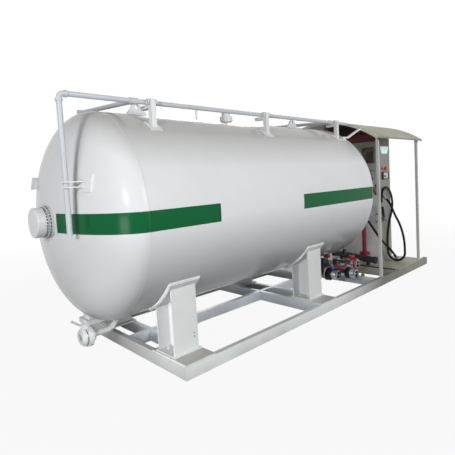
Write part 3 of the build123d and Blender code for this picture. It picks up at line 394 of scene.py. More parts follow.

# %% [markdown]
# Rubber, plastics, bare metals, brushed pipe paint and the gutter's painted shade have a finer grain than
# sprayed enamel.
# They get a second tone in patches, mostly a few centimetres across, from one noise that also varies
# the gloss and lifts the surface a little.

# %% Rubber, metals and plastics
def plain_finish(name, colour, second, roughness, metallic=0.0, span=0.03, bump=0.1, specular=0.5):
    """A finish with a second tone in fine patches, for what is not sprayed."""
    material, tree, shader, place = start_material(name)
    shader.inputs["Base Color"].default_value = linear(colour)
    shader.inputs["Metallic"].default_value = metallic
    shader.inputs["Specular IOR Level"].default_value = specular
    grain = add(tree, "ShaderNodeTexNoise", {
        "Vector": place, "Scale": 1 / span, "Detail": 5.0, "Roughness": 0.65})
    patch = add(tree, "ShaderNodeMapRange", {"Value": grain, 1: 0.35, 2: 0.7, 3: 0.0, 4: 1.0})
    lay_colour(material, patch, second)
    rough = add(tree, "ShaderNodeMapRange", {
        "Value": grain, 1: 0.3, 2: 0.7, 3: roughness * 0.8, 4: roughness * 1.2})
    relief = add(tree, "ShaderNodeBump", {"Height": grain, "Strength": bump, "Distance": 0.001})
    tree.links.new(rough.outputs[0], shader.inputs["Roughness"])
    tree.links.new(relief.outputs[0], shader.inputs["Normal"])
    return material


# %% Materials that are not sprayed
# Extruded rubber keeps a faint sheen, moulded plastic a soft gloss, black pipe paint a greyer one.
hose_rubber = plain_finish("hose_rubber", "#0b0b0c", "#151516", 0.55, span=0.02, specular=0.15)
black_plastic = plain_finish("black_plastic", "#101113", "#1b1d20", 0.42, span=0.015, specular=0.25)
black_pipe_paint = plain_finish("black_pipe_paint", "#191c1f", "#2a2e33", 0.45, span=0.06, specular=0.3)
# Zinc plate is mottled and half bright, and cast brass has gone dull.
zinc_steel = plain_finish("zinc_steel", "#9da1a3", "#6f7477", 0.34, metallic=1.0, span=0.02)
brass_cast = plain_finish("brass_cast", "#8f7a4c", "#6a5836", 0.36, metallic=1.0, span=0.02)
# Moulded colours are clean and glossy, the gutter's near black is matt painted shade, the display is smoked
# and smooth.
red_plastic = plain_finish("red_plastic", "#c21f22", "#a0181b", 0.3, span=0.02)
blue_plastic = plain_finish("blue_plastic", "#2456c4", "#1a3f94", 0.3, span=0.02)
box_brown = plain_finish("box_brown", "#43372f", "#54473e", 0.42, span=0.03)
gutter_shade = plain_finish("gutter_shade", "#241f1b", "#3a342e", 0.6, span=0.08)
glass_dark = plain_finish("glass_dark", "#3d3a31", "#474439", 0.2, span=0.2, bump=0.0)
# The lamp's panel glows by itself, softly enough to keep its tint.
lamp_panel = plain_finish("lamp_panel", "#dfeef2", "#c6dde4", 0.2, span=0.05, bump=0.02)
glow = lamp_panel.node_tree.nodes["Principled BSDF"].inputs
glow["Emission Color"].default_value = linear("#dff0f2")
glow["Emission Strength"].default_value = 0.42
print("materials", len(bpy.data.materials))

# %% [markdown]
# Each CAD node whose shape is right keeps its mesh and only gets a finish.

# %% Finishes for the CAD nodes
finishes = {
    tank_enamel: ("tank_barrel", "tank_head_left", "tank_head_right"),
    white_enamel: (
        "nozzle_flange", "nozzle_cap", "saddle_pads", "lifting_lug_1", "lifting_lug_2", "drain_pad",
        "drain_union", "drain_pipe", "riser_bracket", "head_block", "spray_supports", "canopy_brace",
        "top_valves",
    ),
    pipe_enamel: ("spray_riser", "spray_main_near", "spray_main_far", "spray_cross_pipes"),
    post_enamel: (
        "canopy_post_left_near", "canopy_post_left_far", "canopy_post_right_near", "canopy_post_right_far",
    ),
    rail_enamel: ("skid_rail_near", "skid_rail_far"),
    frame_enamel: ("cross_beams", "centre_beams"),
    end_enamel: ("end_beam_left",),
    leg_enamel: ("saddle_1_leg_near", "saddle_1_leg_far", "saddle_2_leg_near", "saddle_2_leg_far"),
    plate_enamel: ("saddle_base_plates", "pump_plate"),
    deck_enamel: ("deck_plate",),
    gutter_shade: ("gutter_tray",),
    roof_paint: ("canopy_roof",),
    cabinet_shaded_enamel: ("dispenser_cabinet",),
    header_maroon: ("header_panel",),
    lamp_panel: ("cabinet_lamp",),
    red_plastic: ("cabinet_controls",),
    zinc_steel: ("hose_swivels", "side_hose_end", "filling_couplings", "nozzle_holster"),
    black_plastic: ("nozzle_gun", "pressure_gauge"),
    hose_rubber: ("dispenser_hose", "side_hose"),
    machine_paint: ("pump", "motor", "filling_header"),
    black_pipe_paint: ("return_pipe",),
    lever_red: ("coupling_levers",),
    riser_red: ("red_pipe",),
    brass_cast: ("brass_valve",),
}
for finish, names in finishes.items():
    for name in names:
        mesh = nodes[name].data
        mesh.materials.clear()
        mesh.materials.append(finish)
painted = {name for names in finishes.values() for name in names}
print("nodes without a finish", sorted(set(nodes) - painted))

# %% [markdown]
# Rings, ferrules, knobs and couplings are turned on a lathe for the real station, so here a half
# profile is spun about an axis in mesh code. A ripple on the widest ring gives a hand grip.
# Boxes get rounded edges with a bevel, because no folded or cast edge is knife sharp.

# %% Lathe and block helpers
SHARP_ANGLE = radians(35)
MERGE_DISTANCE = 0.00001


def mm(*rows):
    """Rows of sizes in millimetres, as metres."""
    return [tuple(size / 1000 for size in row) for row in rows]


def along_axis(base, way):
    """The frame at a base point whose Z axis points along a way."""
    return Matrix.Translation(Vector(base)) @ Vector(way).to_track_quat("Z", "Y").to_matrix().to_4x4()


def spin(shape, profile, base, way, steps=32, grips=0, grip_depth=0.0):
    """Adds a profile of (along, radius) points, turned about an axis, to a bmesh."""
    at = along_axis(base, way)
    widest = max(radius for _, radius in profile)
    rings = []
    for along, radius in profile:
        count = steps if radius else 1
        ring = []
        for step in range(count):
            angle = 2 * pi * step / count
            ripple = grip_depth * (0.5 + 0.5 * cos(grips * angle)) if radius == widest else 0.0
            out = radius - ripple
            ring.append(shape.verts.new(at @ Vector((out * cos(angle), out * sin(angle), along))))
        rings.append(ring)
    for low, high in zip(rings, rings[1:]):
        for step in range(steps):
            after = step + 1
            corners = [low[step % len(low)], low[after % len(low)]]
            corners += [high[after % len(high)], high[step % len(high)]]
            corners = list(dict.fromkeys(corners))
            if len(corners) > 2:
                shape.faces.new(corners)


def bar(shape, start, end, radius, steps=12):
    """Adds a round bar with slightly rounded ends to a bmesh."""
    way = Vector(end) - Vector(start)
    nose = radius * 0.3
    profile = ((0, 0), (0, radius - nose), (nose, radius), (way.length - nose, radius),
               (way.length, radius - nose), (way.length, 0))
    spin(shape, profile, start, way, steps)


def bent_bar(shape, points, radius):
    """Adds a bar that runs through points to a bmesh."""
    for one, two in zip(points, points[1:]):
        bar(shape, one, two, radius)


def block(shape, low, high, edge):
    """Adds a box between two corners, with rounded edges, to a bmesh."""
    low, high = Vector(low), Vector(high)
    stretch = Matrix.Diagonal((*(high - low), 1))
    made = bmesh.ops.create_cube(shape, size=1, matrix=Matrix.Translation((low + high) / 2) @ stretch)
    edges = list({edge_of for vert in made["verts"] for edge_of in vert.link_edges})
    bmesh.ops.bevel(shape, geom=edges, offset=edge, segments=2, affect="EDGES", profile=0.5)


# %% Placing a piece
def place_piece(name, data, slot, *replaced):
    """Puts a finished mesh into the scene, riding on the station, and hides the nodes it stands for."""
    piece = bpy.data.objects.new(name, data)
    scene.collection.objects.link(piece)
    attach(piece, "root")
    if replaced:
        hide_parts(*replaced)
    print(name, len(data.polygons), "faces")
    return piece


def finish_piece(name, shape, material, slot, *replaced):
    """Closes a bmesh, shades it and places it as a piece."""
    bmesh.ops.remove_doubles(shape, verts=shape.verts, dist=MERGE_DISTANCE)
    bmesh.ops.recalc_face_normals(shape, faces=shape.faces)
    data = bpy.data.meshes.new(name)
    shape.to_mesh(data)
    shape.free()
    data.shade_smooth()
    data.set_sharp_from_angle(angle=SHARP_ANGLE)
    data.materials.append(material)
    return place_piece(name, data, slot, *replaced)


def turned_piece(name, turns, material, slot, *replaced):
    """A piece made only of turned shapes, each a row of spin's values."""
    shape = bmesh.new()
    for turn in turns:
        spin(shape, *turn)
    return finish_piece(name, shape, material, slot, *replaced)


# %% [markdown]
# The filling nozzle hangs head down in its bracket: a plated swivel at the hose, a black grip with
# a trigger and its guard, and two crossed claws below that lock it to a vehicle's inlet. It sits
# on the same line as its CAD solid and replaces it.

# %% Filling nozzle
CORNER = Vector((2.086, -0.450, 0.116))
GUN_START = CORNER + Vector((0.022, -0.037, 0.9239))
GUN_WAY = Vector((0.018, 0.001, -0.0701)).normalized()
GUN_SIDE = Vector((0.72, -0.69, 0.0)).cross(GUN_WAY).cross(GUN_WAY).normalized()
GRIP_PROFILE = mm((34, 0), (34, 14), (50, 17), (90, 21), (160, 22), (190, 19), (203, 18), (203, 0))
SWIVEL_PROFILE = mm(
    (-34, 17.2), (-34, 20), (-6, 20.5), (0, 18), (18, 18), (22, 20.5), (36, 20.5), (36, 0),
)
TIP_PROFILE = mm((200, 0), (200, 14.5), (226, 14.5), (226, 22), (238, 22), (242, 16), (242, 0))
CLAW_SPREAD, CLAW_DEPTH, CLAW_RADIUS = 0.030, 0.007, 0.0055
CLAW_SPAN = (0.226, 0.282)
GUARD_PATH = mm((62, 18), (74, 34), (150, 34), (164, 18))
GUARD_RADIUS = 0.0044

shape = bmesh.new()
spin(shape, GRIP_PROFILE, GUN_START, GUN_WAY)
claw_out = GUN_SIDE.cross(GUN_WAY)
for side in (-1, 1):
    shift = claw_out * CLAW_DEPTH * side
    spread = GUN_SIDE * CLAW_SPREAD * side
    bar(shape, GUN_START + GUN_WAY * CLAW_SPAN[0] + spread + shift,
        GUN_START + GUN_WAY * CLAW_SPAN[1] - spread + shift, CLAW_RADIUS)
bent_bar(shape, [GUN_START + GUN_WAY * along + GUN_SIDE * out for along, out in GUARD_PATH], GUARD_RADIUS)
nozzle_grip = finish_piece("nozzle_grip", shape, black_plastic, "nozzle_black", "nozzle_gun")
steel_turns = [(profile, GUN_START, GUN_WAY) for profile in (SWIVEL_PROFILE, TIP_PROFILE)]
nozzle_steel = turned_piece("nozzle_steel", steel_turns, zinc_steel, "fitting_steel")

# %% [markdown]
# The two hoses are rubber tubes. Each is one smooth curve through the same
# control points as its CAD tube, with a round bevel, and it replaces that tube. The filling hose
# runs on into the nozzle's grip, which is threaded over it.

# %% Hoses
HOSE_ROUTE = mm(
    (90, 51, 1024), (92, 96, 984), (82, 142, 923.9), (74, 178, 844), (82, 214, 743.9), (128, 254, 628.9),
    (172, 280, 488.9), (194, 298, 348.9), (200, 302, 214), (198, 302, 95.9), (194, 225, 19.1),
    (190, 117, 19.1), (186, 42, 95.9), (172, 40, 218.9), (172, 38, 333.9), (210, 36, 494.1),
    (260, 35, 624), (330, 36, 733.9), (380, 38, 848.9), (380, 40, 959), (335, 40, 1069.1),
    (260, 40, 1149), (169, 40, 1189), (70, 39, 1159.1), (8, 38, 1069.1), (4, 38, 994), (22, 37, 923.9),
)
SIDE_HOSE_ROUTE = mm(
    (-34, -196, 687), (-38, -136, 607), (-44, -92, 548), (-54, -35, 471.1), (-54, 20, 397.1),
    (-30, 74, 324.9), (24, 120, 246), (78, 156, 172), (126, 186, 92.5),
)
HOSE_RADIUS = 0.017


def from_corner(route):
    """Route points from the cabinet's lower corner, as places in the frame."""
    return [CORNER + Vector((along, -out, rise)) for along, out, rise in route]


def hose_curve(name, points):
    """A round hose along a smooth curve of third order through its control points."""
    curve = bpy.data.curves.new(name, "CURVE")
    curve.dimensions = "3D"
    curve.bevel_depth = HOSE_RADIUS
    curve.bevel_resolution = 5
    curve.use_fill_caps = True
    spline = curve.splines.new("NURBS")
    spline.points.add(len(points) - 1)
    for control, point in zip(spline.points, points):
        control.co = (*point, 1.0)
    spline.order_u = 3
    spline.use_endpoint_u = True
    spline.resolution_u = 10
    curve.materials.append(hose_rubber)
    hose = bpy.data.objects.new(name, curve)
    scene.collection.objects.link(hose)
    return hose


# %% Hoses laid along their control points
hose_points = from_corner(HOSE_ROUTE) + [GUN_START + GUN_WAY * inside for inside in (0.075, 0.150)]
side_points = from_corner(SIDE_HOSE_ROUTE)
filling_hose = hose_curve("filling_hose", hose_points)
side_hose = hose_curve("side_hose_rubber", side_points)
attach(filling_hose, "root")
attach(side_hose, "root")
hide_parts("dispenser_hose")
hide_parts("side_hose")
print("hoses", len(HOSE_ROUTE), len(SIDE_HOSE_ROUTE), "control points")

# %% [markdown]
# Bolts, weld beads and cooling fins repeat by the dozen, so Geometry Nodes lay them out. Each tree
# has named inputs for its sizes. The script gives it points or edges with a direction on each,
# reads the result back as a plain mesh and takes the modifier off again.

# %% Geometry Nodes helpers
def start_tree(name, inputs):
    """A new geometry tree and its named inputs."""
    tree = bpy.data.node_groups.new(name, "GeometryNodeTree")
    tree.interface.new_socket("Geometry", in_out="INPUT", socket_type="NodeSocketGeometry")
    for label, kind in inputs:
        tree.interface.new_socket(label, in_out="INPUT", socket_type="NodeSocket" + kind)
    tree.interface.new_socket("Geometry", in_out="OUTPUT", socket_type="NodeSocketGeometry")
    return tree, add(tree, "NodeGroupInput").outputs


def turned_to(tree, first, second):
    """A rotation that takes Z to a named direction on the points and X near to a second one."""
    rotation = None
    for axis, label in (("Z", first), ("X", second)):
        way = add(tree, "GeometryNodeInputNamedAttribute", {"Name": label}, data_type="FLOAT_VECTOR")
        inputs = {"Vector": way.outputs["Attribute"]}
        if rotation:
            inputs["Rotation"] = rotation
        rotation = add(tree, "FunctionNodeAlignRotationToVector", inputs, axis=axis,
                       pivot_axis="Z" if rotation else "AUTO")
    return rotation


def set_copies(tree, given, points, piece, ways, scale):
    """Sets a piece on each point, turned two ways and scaled, gives it its finish and ends the tree."""
    copies = add(tree, "GeometryNodeInstanceOnPoints", {
        "Points": points, "Instance": piece, "Rotation": turned_to(tree, *ways), "Scale": scale})
    real = add(tree, "GeometryNodeRealizeInstances", {"Geometry": copies})
    painted = add(tree, "GeometryNodeSetMaterial", {"Geometry": real, "Material": given["Finish"]})
    add(tree, "NodeGroupOutput", {"Geometry": painted})


# %% Running a tree
def grow(name, tree, points, edges, vectors, settings, slot, floats=None):
    """Runs a tree on points or edges that carry directions, and places the result as a piece."""
    data = bpy.data.meshes.new(name)
    data.from_pydata([Vector(point) for point in points], edges, [])
    for label, values in vectors.items():
        layer = data.attributes.new(label, "FLOAT_VECTOR", "POINT")
        layer.data.foreach_set("vector", [c for value in values for c in Vector(value).normalized()])
    for label, values in (floats or {}).items():
        data.attributes.new(label, "FLOAT", "POINT").data.foreach_set("value", values)
    carrier = bpy.data.objects.new(name + "_points", data)
    scene.collection.objects.link(carrier)
    modifier = carrier.modifiers.new(tree.name, "NODES")
    modifier.node_group = tree
    for item in tree.interface.items_tree:
        if item.in_out == "INPUT" and item.name in settings:
            modifier[item.identifier] = settings[item.name]
    depsgraph = bpy.context.evaluated_depsgraph_get()
    result = bpy.data.meshes.new_from_object(carrier.evaluated_get(depsgraph), depsgraph=depsgraph)
    carrier.modifiers.clear()
    bpy.data.objects.remove(carrier)
    result.name = name
    result.shade_smooth()
    result.set_sharp_from_angle(angle=SHARP_ANGLE)
    return place_piece(name, result, slot)


# %% [markdown]
# A hexagon bolt is a washer, a six-sided head and the end of its stud. The tree draws one of unit
# size and sets a copy on each point, turned to the way that the bolt faces and scaled to its size.

# %% Hexagon bolts
bolt_tree, given = start_tree("hexagon_bolts", [
    ("Head height", "Float"), ("Washer spread", "Float"), ("Finish", "Material")])
bolt = add(bolt_tree, "GeometryNodeJoinGeometry")
tall = given["Head height"]
for corners, radius, depth, lift in (
        (16, given["Washer spread"], 0.24, 0.0), (6, 1.0, tall, 0.5), (10, 0.5, tall, 1.0)):
    drum = add(bolt_tree, "GeometryNodeMeshCylinder", {
        "Vertices": corners, "Radius": radius, "Depth": depth})
    rise = add(bolt_tree, "ShaderNodeMath", {0: tall, 1: lift}, operation="MULTIPLY")
    spot = add(bolt_tree, "ShaderNodeCombineXYZ", {"Z": rise})
    part = add(bolt_tree, "GeometryNodeTransform", {
        "Geometry": drum, "Translation": spot})
    bolt_tree.links.new(part.outputs[0], bolt.inputs[0])
size = add(bolt_tree, "GeometryNodeInputNamedAttribute", {"Name": "size"}, data_type="FLOAT")
set_copies(bolt_tree, given, given["Geometry"], bolt, ("way", "side"), size.outputs["Attribute"])


def bolts(name, rows, finish, slot):
    """Bolts from rows of (place, way, size)."""
    ways = [Vector(way) for _, way, _ in rows]
    sides = [way.orthogonal() for way in ways]
    grow(name, bolt_tree, [place for place, _, _ in rows], [], {"way": ways, "side": sides},
         {"Head height": 0.8, "Washer spread": 1.3, "Finish": finish}, slot,
         {"size": [size for _, _, size in rows]})


def bolt_circle(centre, way, radius, count, size):
    """Rows for bolts spread evenly round a circle."""
    at = along_axis(centre, way)
    angles = [2 * pi * index / count for index in range(count)]
    return [(at @ Vector((radius * cos(a), radius * sin(a), 0)), way, size) for a in angles]


# %% Bolts of the station
LEG_PLACES = (-1.942, -0.064)
FOOT_TOP, FOOT_BOLT = 0.138, 0.0125
FOOT_ALONG, FOOT_OUT = (-0.072, 0.072), (0.520, 0.630)
white_rows = [((x + dx, side * y, FOOT_TOP), (0, 0, 1), FOOT_BOLT)
              for x in LEG_PLACES for side in (-1, 1) for dx in FOOT_ALONG for y in FOOT_OUT]
bolts("leg_foot_bolts", white_rows, white_enamel, "fitting_white")
RED_FLANGE = (1.996, -0.226)
red_rows = bolt_circle((*RED_FLANGE, 0.276), (0, 0, 1), 0.058, 6, 0.009)
red_rows += bolt_circle((*RED_FLANGE, 0.236), (0, 0, -1), 0.058, 6, 0.009)
bolts("red_flange_bolts", red_rows, riser_red, "pipe_red")
PUMP_X, PUMP_Z = 0.981, 0.252
pump_rows = bolt_circle((PUMP_X, -0.1636, PUMP_Z), (0, -1, 0), 0.066, 8, 0.007)
pump_rows += bolt_circle((PUMP_X, 0.120, PUMP_Z), (0, -1, 0), 0.092, 8, 0.006)
bolts("pump_cover_bolts", pump_rows, zinc_steel, "fitting_steel")
POST_X, POST_FACE, POST_BOLT_Z, POST_BOLT = (1.264, 2.556), 0.866, 1.982, 0.010
post_rows = [((x, side * POST_FACE, POST_BOLT_Z), (0, side, 0), POST_BOLT)
             for x in POST_X for side in (-1, 1)]
bolts("post_top_bolts", post_rows, black_plastic, "nozzle_black")
LEG_OUTER = 0.693
SCREW_X, SCREW_Z, SCREW_SIZE = -1.856, (0.274, 0.244), 0.0042
screw_rows = [((SCREW_X, -LEG_OUTER, z), (0, -1, 0), SCREW_SIZE) for z in SCREW_Z]
bolts("leg_screws", screw_rows, black_plastic, "nozzle_black")

# %% [markdown]
# A weld is a row of overlapping ripples. The tree turns edges into curves, resamples them at the
# ripple's pitch and sets a squashed ball on each point, flat on the plate and in line with the
# seam. The head seams are ground low, and the pads round the saddles carry a full fillet.

# %% Weld beads
weld_tree, given = start_tree("weld_bead", [
    ("Pitch", "Float"), ("Half width", "Float"), ("Height", "Float"), ("Finish", "Material")])
seam = add(weld_tree, "GeometryNodeMeshToCurve", {"Mesh": given["Geometry"]})
steps = add(weld_tree, "GeometryNodeResampleCurve", {
    "Curve": seam, "Length": given["Pitch"]}, mode="LENGTH")
line = add(weld_tree, "GeometryNodeInputTangent")
kept_line = add(weld_tree, "GeometryNodeStoreNamedAttribute", {
    "Geometry": steps, "Name": "line", "Value": line},
    data_type="FLOAT_VECTOR", domain="POINT")
ripple = add(weld_tree, "GeometryNodeMeshUVSphere", {"Segments": 8, "Rings": 5, "Radius": 1.0})
long = add(weld_tree, "ShaderNodeMath", {0: given["Pitch"], 1: 0.62}, operation="MULTIPLY")
squash = add(weld_tree, "ShaderNodeCombineXYZ", {
    "X": long, "Y": given["Half width"], "Z": given["Height"]})
set_copies(weld_tree, given, kept_line, ripple, ("out", "line"), squash)


def weld(name, paths, pitch, half_width, height, finish=white_enamel, slot="fitting_white"):
    """A weld along paths of (place, outward direction) points."""
    points, outs, edges = [], [], []
    for path in paths:
        first = len(points)
        points += [place for place, _ in path]
        outs += [out for _, out in path]
        edges += [(index, index + 1) for index in range(first, len(points) - 1)]
    grow(name, weld_tree, points, edges, {"out": outs},
         {"Pitch": pitch, "Half width": half_width, "Height": height, "Finish": finish}, slot)


TANK_RADIUS, TANK_AXIS_Z = 0.900, 1.294
SEAM_PLACES = (-2.340, 0.965)


def on_tank(x, angle, proud=0.0):
    """A point on the barrel at an angle from straight down towards +Y, and the way out from there."""
    out = Vector((0, sin(angle), -cos(angle)))
    return Vector((x, 0, TANK_AXIS_Z)) + out * (TANK_RADIUS + proud), out


# %% Welds of the tank, saddles and lugs
RING_STEPS = 96
rings = [[on_tank(x, 2 * pi * step / RING_STEPS) for step in range(RING_STEPS + 1)] for x in SEAM_PLACES]
weld("head_seam_welds", rings, 0.010, 0.008, 0.0016, tank_enamel, "tank_white")
PAD_HALF, PAD_ANGLES, PAD_STEPS, BEAD_OUT = 0.148, (radians(26), radians(52.5)), 14, 0.004
pad_paths = []
for x in LEG_PLACES:
    for side in (-1, 1):
        turn_out = BEAD_OUT / TANK_RADIUS
        low_angle, high_angle = PAD_ANGLES[0] - turn_out, PAD_ANGLES[1] + turn_out
        left, right_end = x - PAD_HALF - BEAD_OUT, x + PAD_HALF + BEAD_OUT
        span = [low_angle + (high_angle - low_angle) * step / PAD_STEPS for step in range(PAD_STEPS + 1)]
        walk = [(left, angle) for angle in span] + [(right_end, angle) for angle in reversed(span)]
        walk.append(walk[0])
        pad_paths.append([on_tank(place, side * angle, BEAD_OUT) for place, angle in walk])
weld("saddle_pad_welds", pad_paths, 0.013, 0.011, 0.010)
LEG_HALF, BEAD_BESIDE = 0.125, LEG_OUTER + 0.002
foot_paths = [[((x + dx, side * BEAD_BESIDE, FOOT_TOP), (0, side, 1)) for dx in (-LEG_HALF, LEG_HALF)]
              for x in LEG_PLACES for side in (-1, 1)]
weld("leg_foot_welds", foot_paths, 0.007, 0.005, 0.005)
lug_paths = []
for lug in ("lifting_lug_1", "lifting_lug_2"):
    lug_low, lug_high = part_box(lug)
    corners = [(lug_low[0], lug_low[1]), (lug_high[0], lug_low[1]), (lug_high[0], lug_high[1]),
               (lug_low[0], lug_high[1]), (lug_low[0], lug_low[1])]
    lug_paths.append([on_tank(x, pi - y / TANK_RADIUS, 0.001) for x, y in corners])
weld("lug_welds", lug_paths, 0.007, 0.005, 0.005)

# %% [markdown]
# The round cap on the outer head closes with a ring of dogs: two rows of short dark steel blocks
# round the joint. The motor's cooling fins are cast round its body. One tree does both: it sets a
# box of a given size on each point, turned outwards.

# %% Closure dogs and cooling fins
box_tree, given = start_tree("set_blocks", [("Size", "Vector"), ("Finish", "Material")])
piece = add(box_tree, "GeometryNodeMeshCube", {"Size": given["Size"]})
set_copies(box_tree, given, given["Geometry"], piece, ("way", "side"), (1, 1, 1))


def blocks_round(name, centre, axis, radius, count, size, finish, slot, lowest=-2.0):
    """Equal boxes spread round an axis, apart from those that face lower than a limit."""
    points, ways = [], []
    turn_out = along_axis(centre, axis).to_3x3()
    for index in range(count):
        angle = 2 * pi * index / count
        out = turn_out @ Vector((cos(angle), sin(angle), 0))
        if out.z > lowest:
            points.append(Vector(centre) + out * radius)
            ways.append(out)
    sides = [axis] * len(points)
    grow(name, box_tree, points, [], {"way": ways, "side": sides}, {"Size": size, "Finish": finish}, slot)


DOG_COUNT, DOG_SIZE = 30, (0.0085, 0.0155, 0.006)
DOG_ROWS = (("closure_dogs", -2.7735, 0.1195), ("closure_bolts", -2.750, 0.1278))
for name, x, radius in DOG_ROWS:
    blocks_round(name, (x, 0, TANK_AXIS_Z), (1, 0, 0), radius, DOG_COUNT, DOG_SIZE,
                 black_pipe_paint, "pipe_black")
FIN_COUNT, LOWEST_FIN, FIN_SIZE = 30, -0.42, (0.225, 0.004, 0.020)
blocks_round("motor_fins", (PUMP_X, 0.2385, PUMP_Z), (0, 1, 0), 0.111, FIN_COUNT, FIN_SIZE,
             machine_paint, "machine_paint", LOWEST_FIN)

# %% [markdown]
# The drain union under the outer head ends in a threaded face: painted rings of falling width
# round a bare steel recess, with a bare seam where the union's two halves meet.

# %% Drain union's face
UNION_FACE = (-2.542, 0, 0.272)
OUTWARD = (-1, 0, 0)
RING_PROFILE = mm(
    (0, 60), (6, 60), (8, 57), (8, 50), (3, 48), (3, 42), (6, 40), (6, 34), (1, 32), (0, 32), (0, 60),
)
RECESS_PROFILE = mm((0, 0), (0, 33), (1.4, 33), (1.4, 0))
SEAM_PROFILE = mm((-40, 76), (-40, 79.5), (-28, 79.5), (-28, 76), (-40, 76))
turned_piece("drain_union_rings", [(RING_PROFILE, UNION_FACE, OUTWARD)], white_enamel, "fitting_white")
thread_turns = [(profile, UNION_FACE, OUTWARD) for profile in (RECESS_PROFILE, SEAM_PROFILE)]
turned_piece("drain_union_thread", thread_turns, zinc_steel, "fitting_steel")

# %% [markdown]
# The three filling couplings are plated valve bodies on the header pipe. The first two carry a
# ribbed black hand wheel, the third a red rim, and each ends in a threaded plated ring round a bore
# lined black as painted shade. They are turned profiles along the same axes as their CAD solids, which they
# replace.

# %% Filling couplings
COUPLING_START = -0.342
COUPLINGS = ((0.651, 0.224, 0.218), (0.836, 0.224, 0.374), (1.016, 0.312, 0.298))
TOWARDS_HOSE = Vector((0, -1, 0))
END_LENGTH, END_RADIUS, BORE_RADIUS = 0.072, 0.060, 0.044
BORE_FLOOR_SHARE, THREAD_STEPS, THREAD_DEPTH = 0.35, 10, 0.004
KEY_NEAR, KEY_FAR, KEY_HALF, KEY_EDGE = 0.004, 0.018, 0.008, 0.003
steel, bore_shade = bmesh.new(), bmesh.new()
for x, z, length in COUPLINGS:
    base = (x, COUPLING_START, z)
    body_end = length - END_LENGTH
    bottom = body_end + END_LENGTH * BORE_FLOOR_SHARE
    body = ((0, 0), (0, 0.050), (0.012, 0.052), (0.012, 0.036), (body_end * 0.5, 0.036),
            (body_end * 0.5, 0.047), (body_end, 0.047), (body_end, 0))
    thread = [(body_end + END_LENGTH * step / THREAD_STEPS, END_RADIUS - THREAD_DEPTH * (step % 2))
              for step in range(THREAD_STEPS + 1)]
    inside = ((length, BORE_RADIUS), (bottom, BORE_RADIUS), (bottom, 0))
    back, front = length - 0.010, length + 0.006
    lip = ((back, BORE_RADIUS - 0.004), (back, END_RADIUS + 0.002), (front - 0.002, END_RADIUS + 0.002),
           (front, END_RADIUS - 0.002), (front, BORE_RADIUS - 0.002), (back, BORE_RADIUS - 0.004))
    for profile in (body, ((body_end, 0), *thread, *inside), lip):
        spin(steel, profile, base, TOWARDS_HOSE)
    block(steel, (x - BORE_RADIUS, COUPLING_START - length + KEY_NEAR, z - KEY_HALF),
          (x + BORE_RADIUS, COUPLING_START - length + KEY_FAR, z + KEY_HALF), KEY_EDGE)
    # A black lining in each bore paints the shade inside it.
    shade_low, shade_high, mouth = bottom + 0.001, bottom + 0.011, length - 0.006
    shade_lining = ((shade_low, 0), (shade_low, BORE_RADIUS - 0.001), (mouth, BORE_RADIUS - 0.001),
           (mouth, BORE_RADIUS - 0.005), (shade_high, BORE_RADIUS - 0.006), (shade_high, 0))
    spin(bore_shade, shade_lining, base, TOWARDS_HOSE)
finish_piece("coupling_bodies", steel, zinc_steel, "fitting_steel", "filling_couplings")

# %% Hand wheels
WHEEL_WIDTH, WHEEL_HUB, WHEEL_EDGE, WHEEL_GROOVE = 0.050, 0.040, 0.006, 0.010
WHEEL_STEPS, GRIP_COUNT, GRIP_DEPTH = 132, 22, 0.006
WHEELS = ((0.062, 0.084), (0.236, 0.076))
wheel_turns = []
for (x, z, length), (wheel_at, radius) in zip(COUPLINGS, WHEELS):
    half = [(0, WHEEL_HUB), (0, radius - WHEEL_EDGE), (WHEEL_EDGE, radius), (WHEEL_WIDTH * 0.42, radius),
            (WHEEL_WIDTH * 0.46, radius - WHEEL_GROOVE)]
    other_half = [(WHEEL_WIDTH - along, out) for along, out in reversed(half)]
    base = (x, COUPLING_START - wheel_at, z)
    profile = (*half, *other_half, half[0])
    wheel_turns.append((profile, base, TOWARDS_HOSE, WHEEL_STEPS, GRIP_COUNT, GRIP_DEPTH))
turned_piece("coupling_hand_wheels", wheel_turns, black_plastic, "nozzle_black")
finish_piece("coupling_bore_shade", bore_shade, black_plastic, "nozzle_black")

# %% [markdown]
# Between the wheels sit the red parts: the third coupling's rim, its red cap, the cranked lever of
# the second valve and the upright valve on the header with its dark red wheel. A white ring backs
# the first wheel, and a small blue dust cap closes a test point.

# %% Red parts of the couplings
RIM_PROFILE = mm((0, 62), (0, 74), (4, 78), (20, 78), (24, 74), (24, 62), (0, 62))
CAP_PROFILE = mm((0, 0), (0, 18), (36, 18), (36, 36), (50, 40), (66, 36), (70, 28), (70, 0))
STEM_PROFILE = mm((40, 0), (40, 12), (88, 10), (88, 0))
CRANK_PATH = mm((-146, -30), (-158, 52), (-240, 112), (-272, 120))
RIM_AT, CAP_AT, CAP_RISE = 0.262, 0.214, 0.045
CRANK_BESIDE, CRANK_DROP, CRANK_RADIUS, STEM_SHARE = 0.052, 0.020, 0.011, 0.27
LEVER_CORNERS, LEVER_EDGE = ((-0.100, -0.013, 0.086), (0.016, 0.013, 0.094)), 0.003
UPWARD = (0, 0, 1)
reds = bmesh.new()
x, z, length = COUPLINGS[2]
spin(reds, RIM_PROFILE, (x, COUPLING_START - RIM_AT, z), TOWARDS_HOSE, 48)
spin(reds, CAP_PROFILE, (x, COUPLING_START - CAP_AT, z + CAP_RISE), UPWARD)
x, z, length = COUPLINGS[1]
crank = [Vector((x - CRANK_BESIDE, COUPLING_START + y, z + rise)) for y, rise in CRANK_PATH]
bent_bar(reds, crank, CRANK_RADIUS)
bar(reds, crank[0], Vector((x, crank[0].y, z - CRANK_DROP)), CRANK_RADIUS)
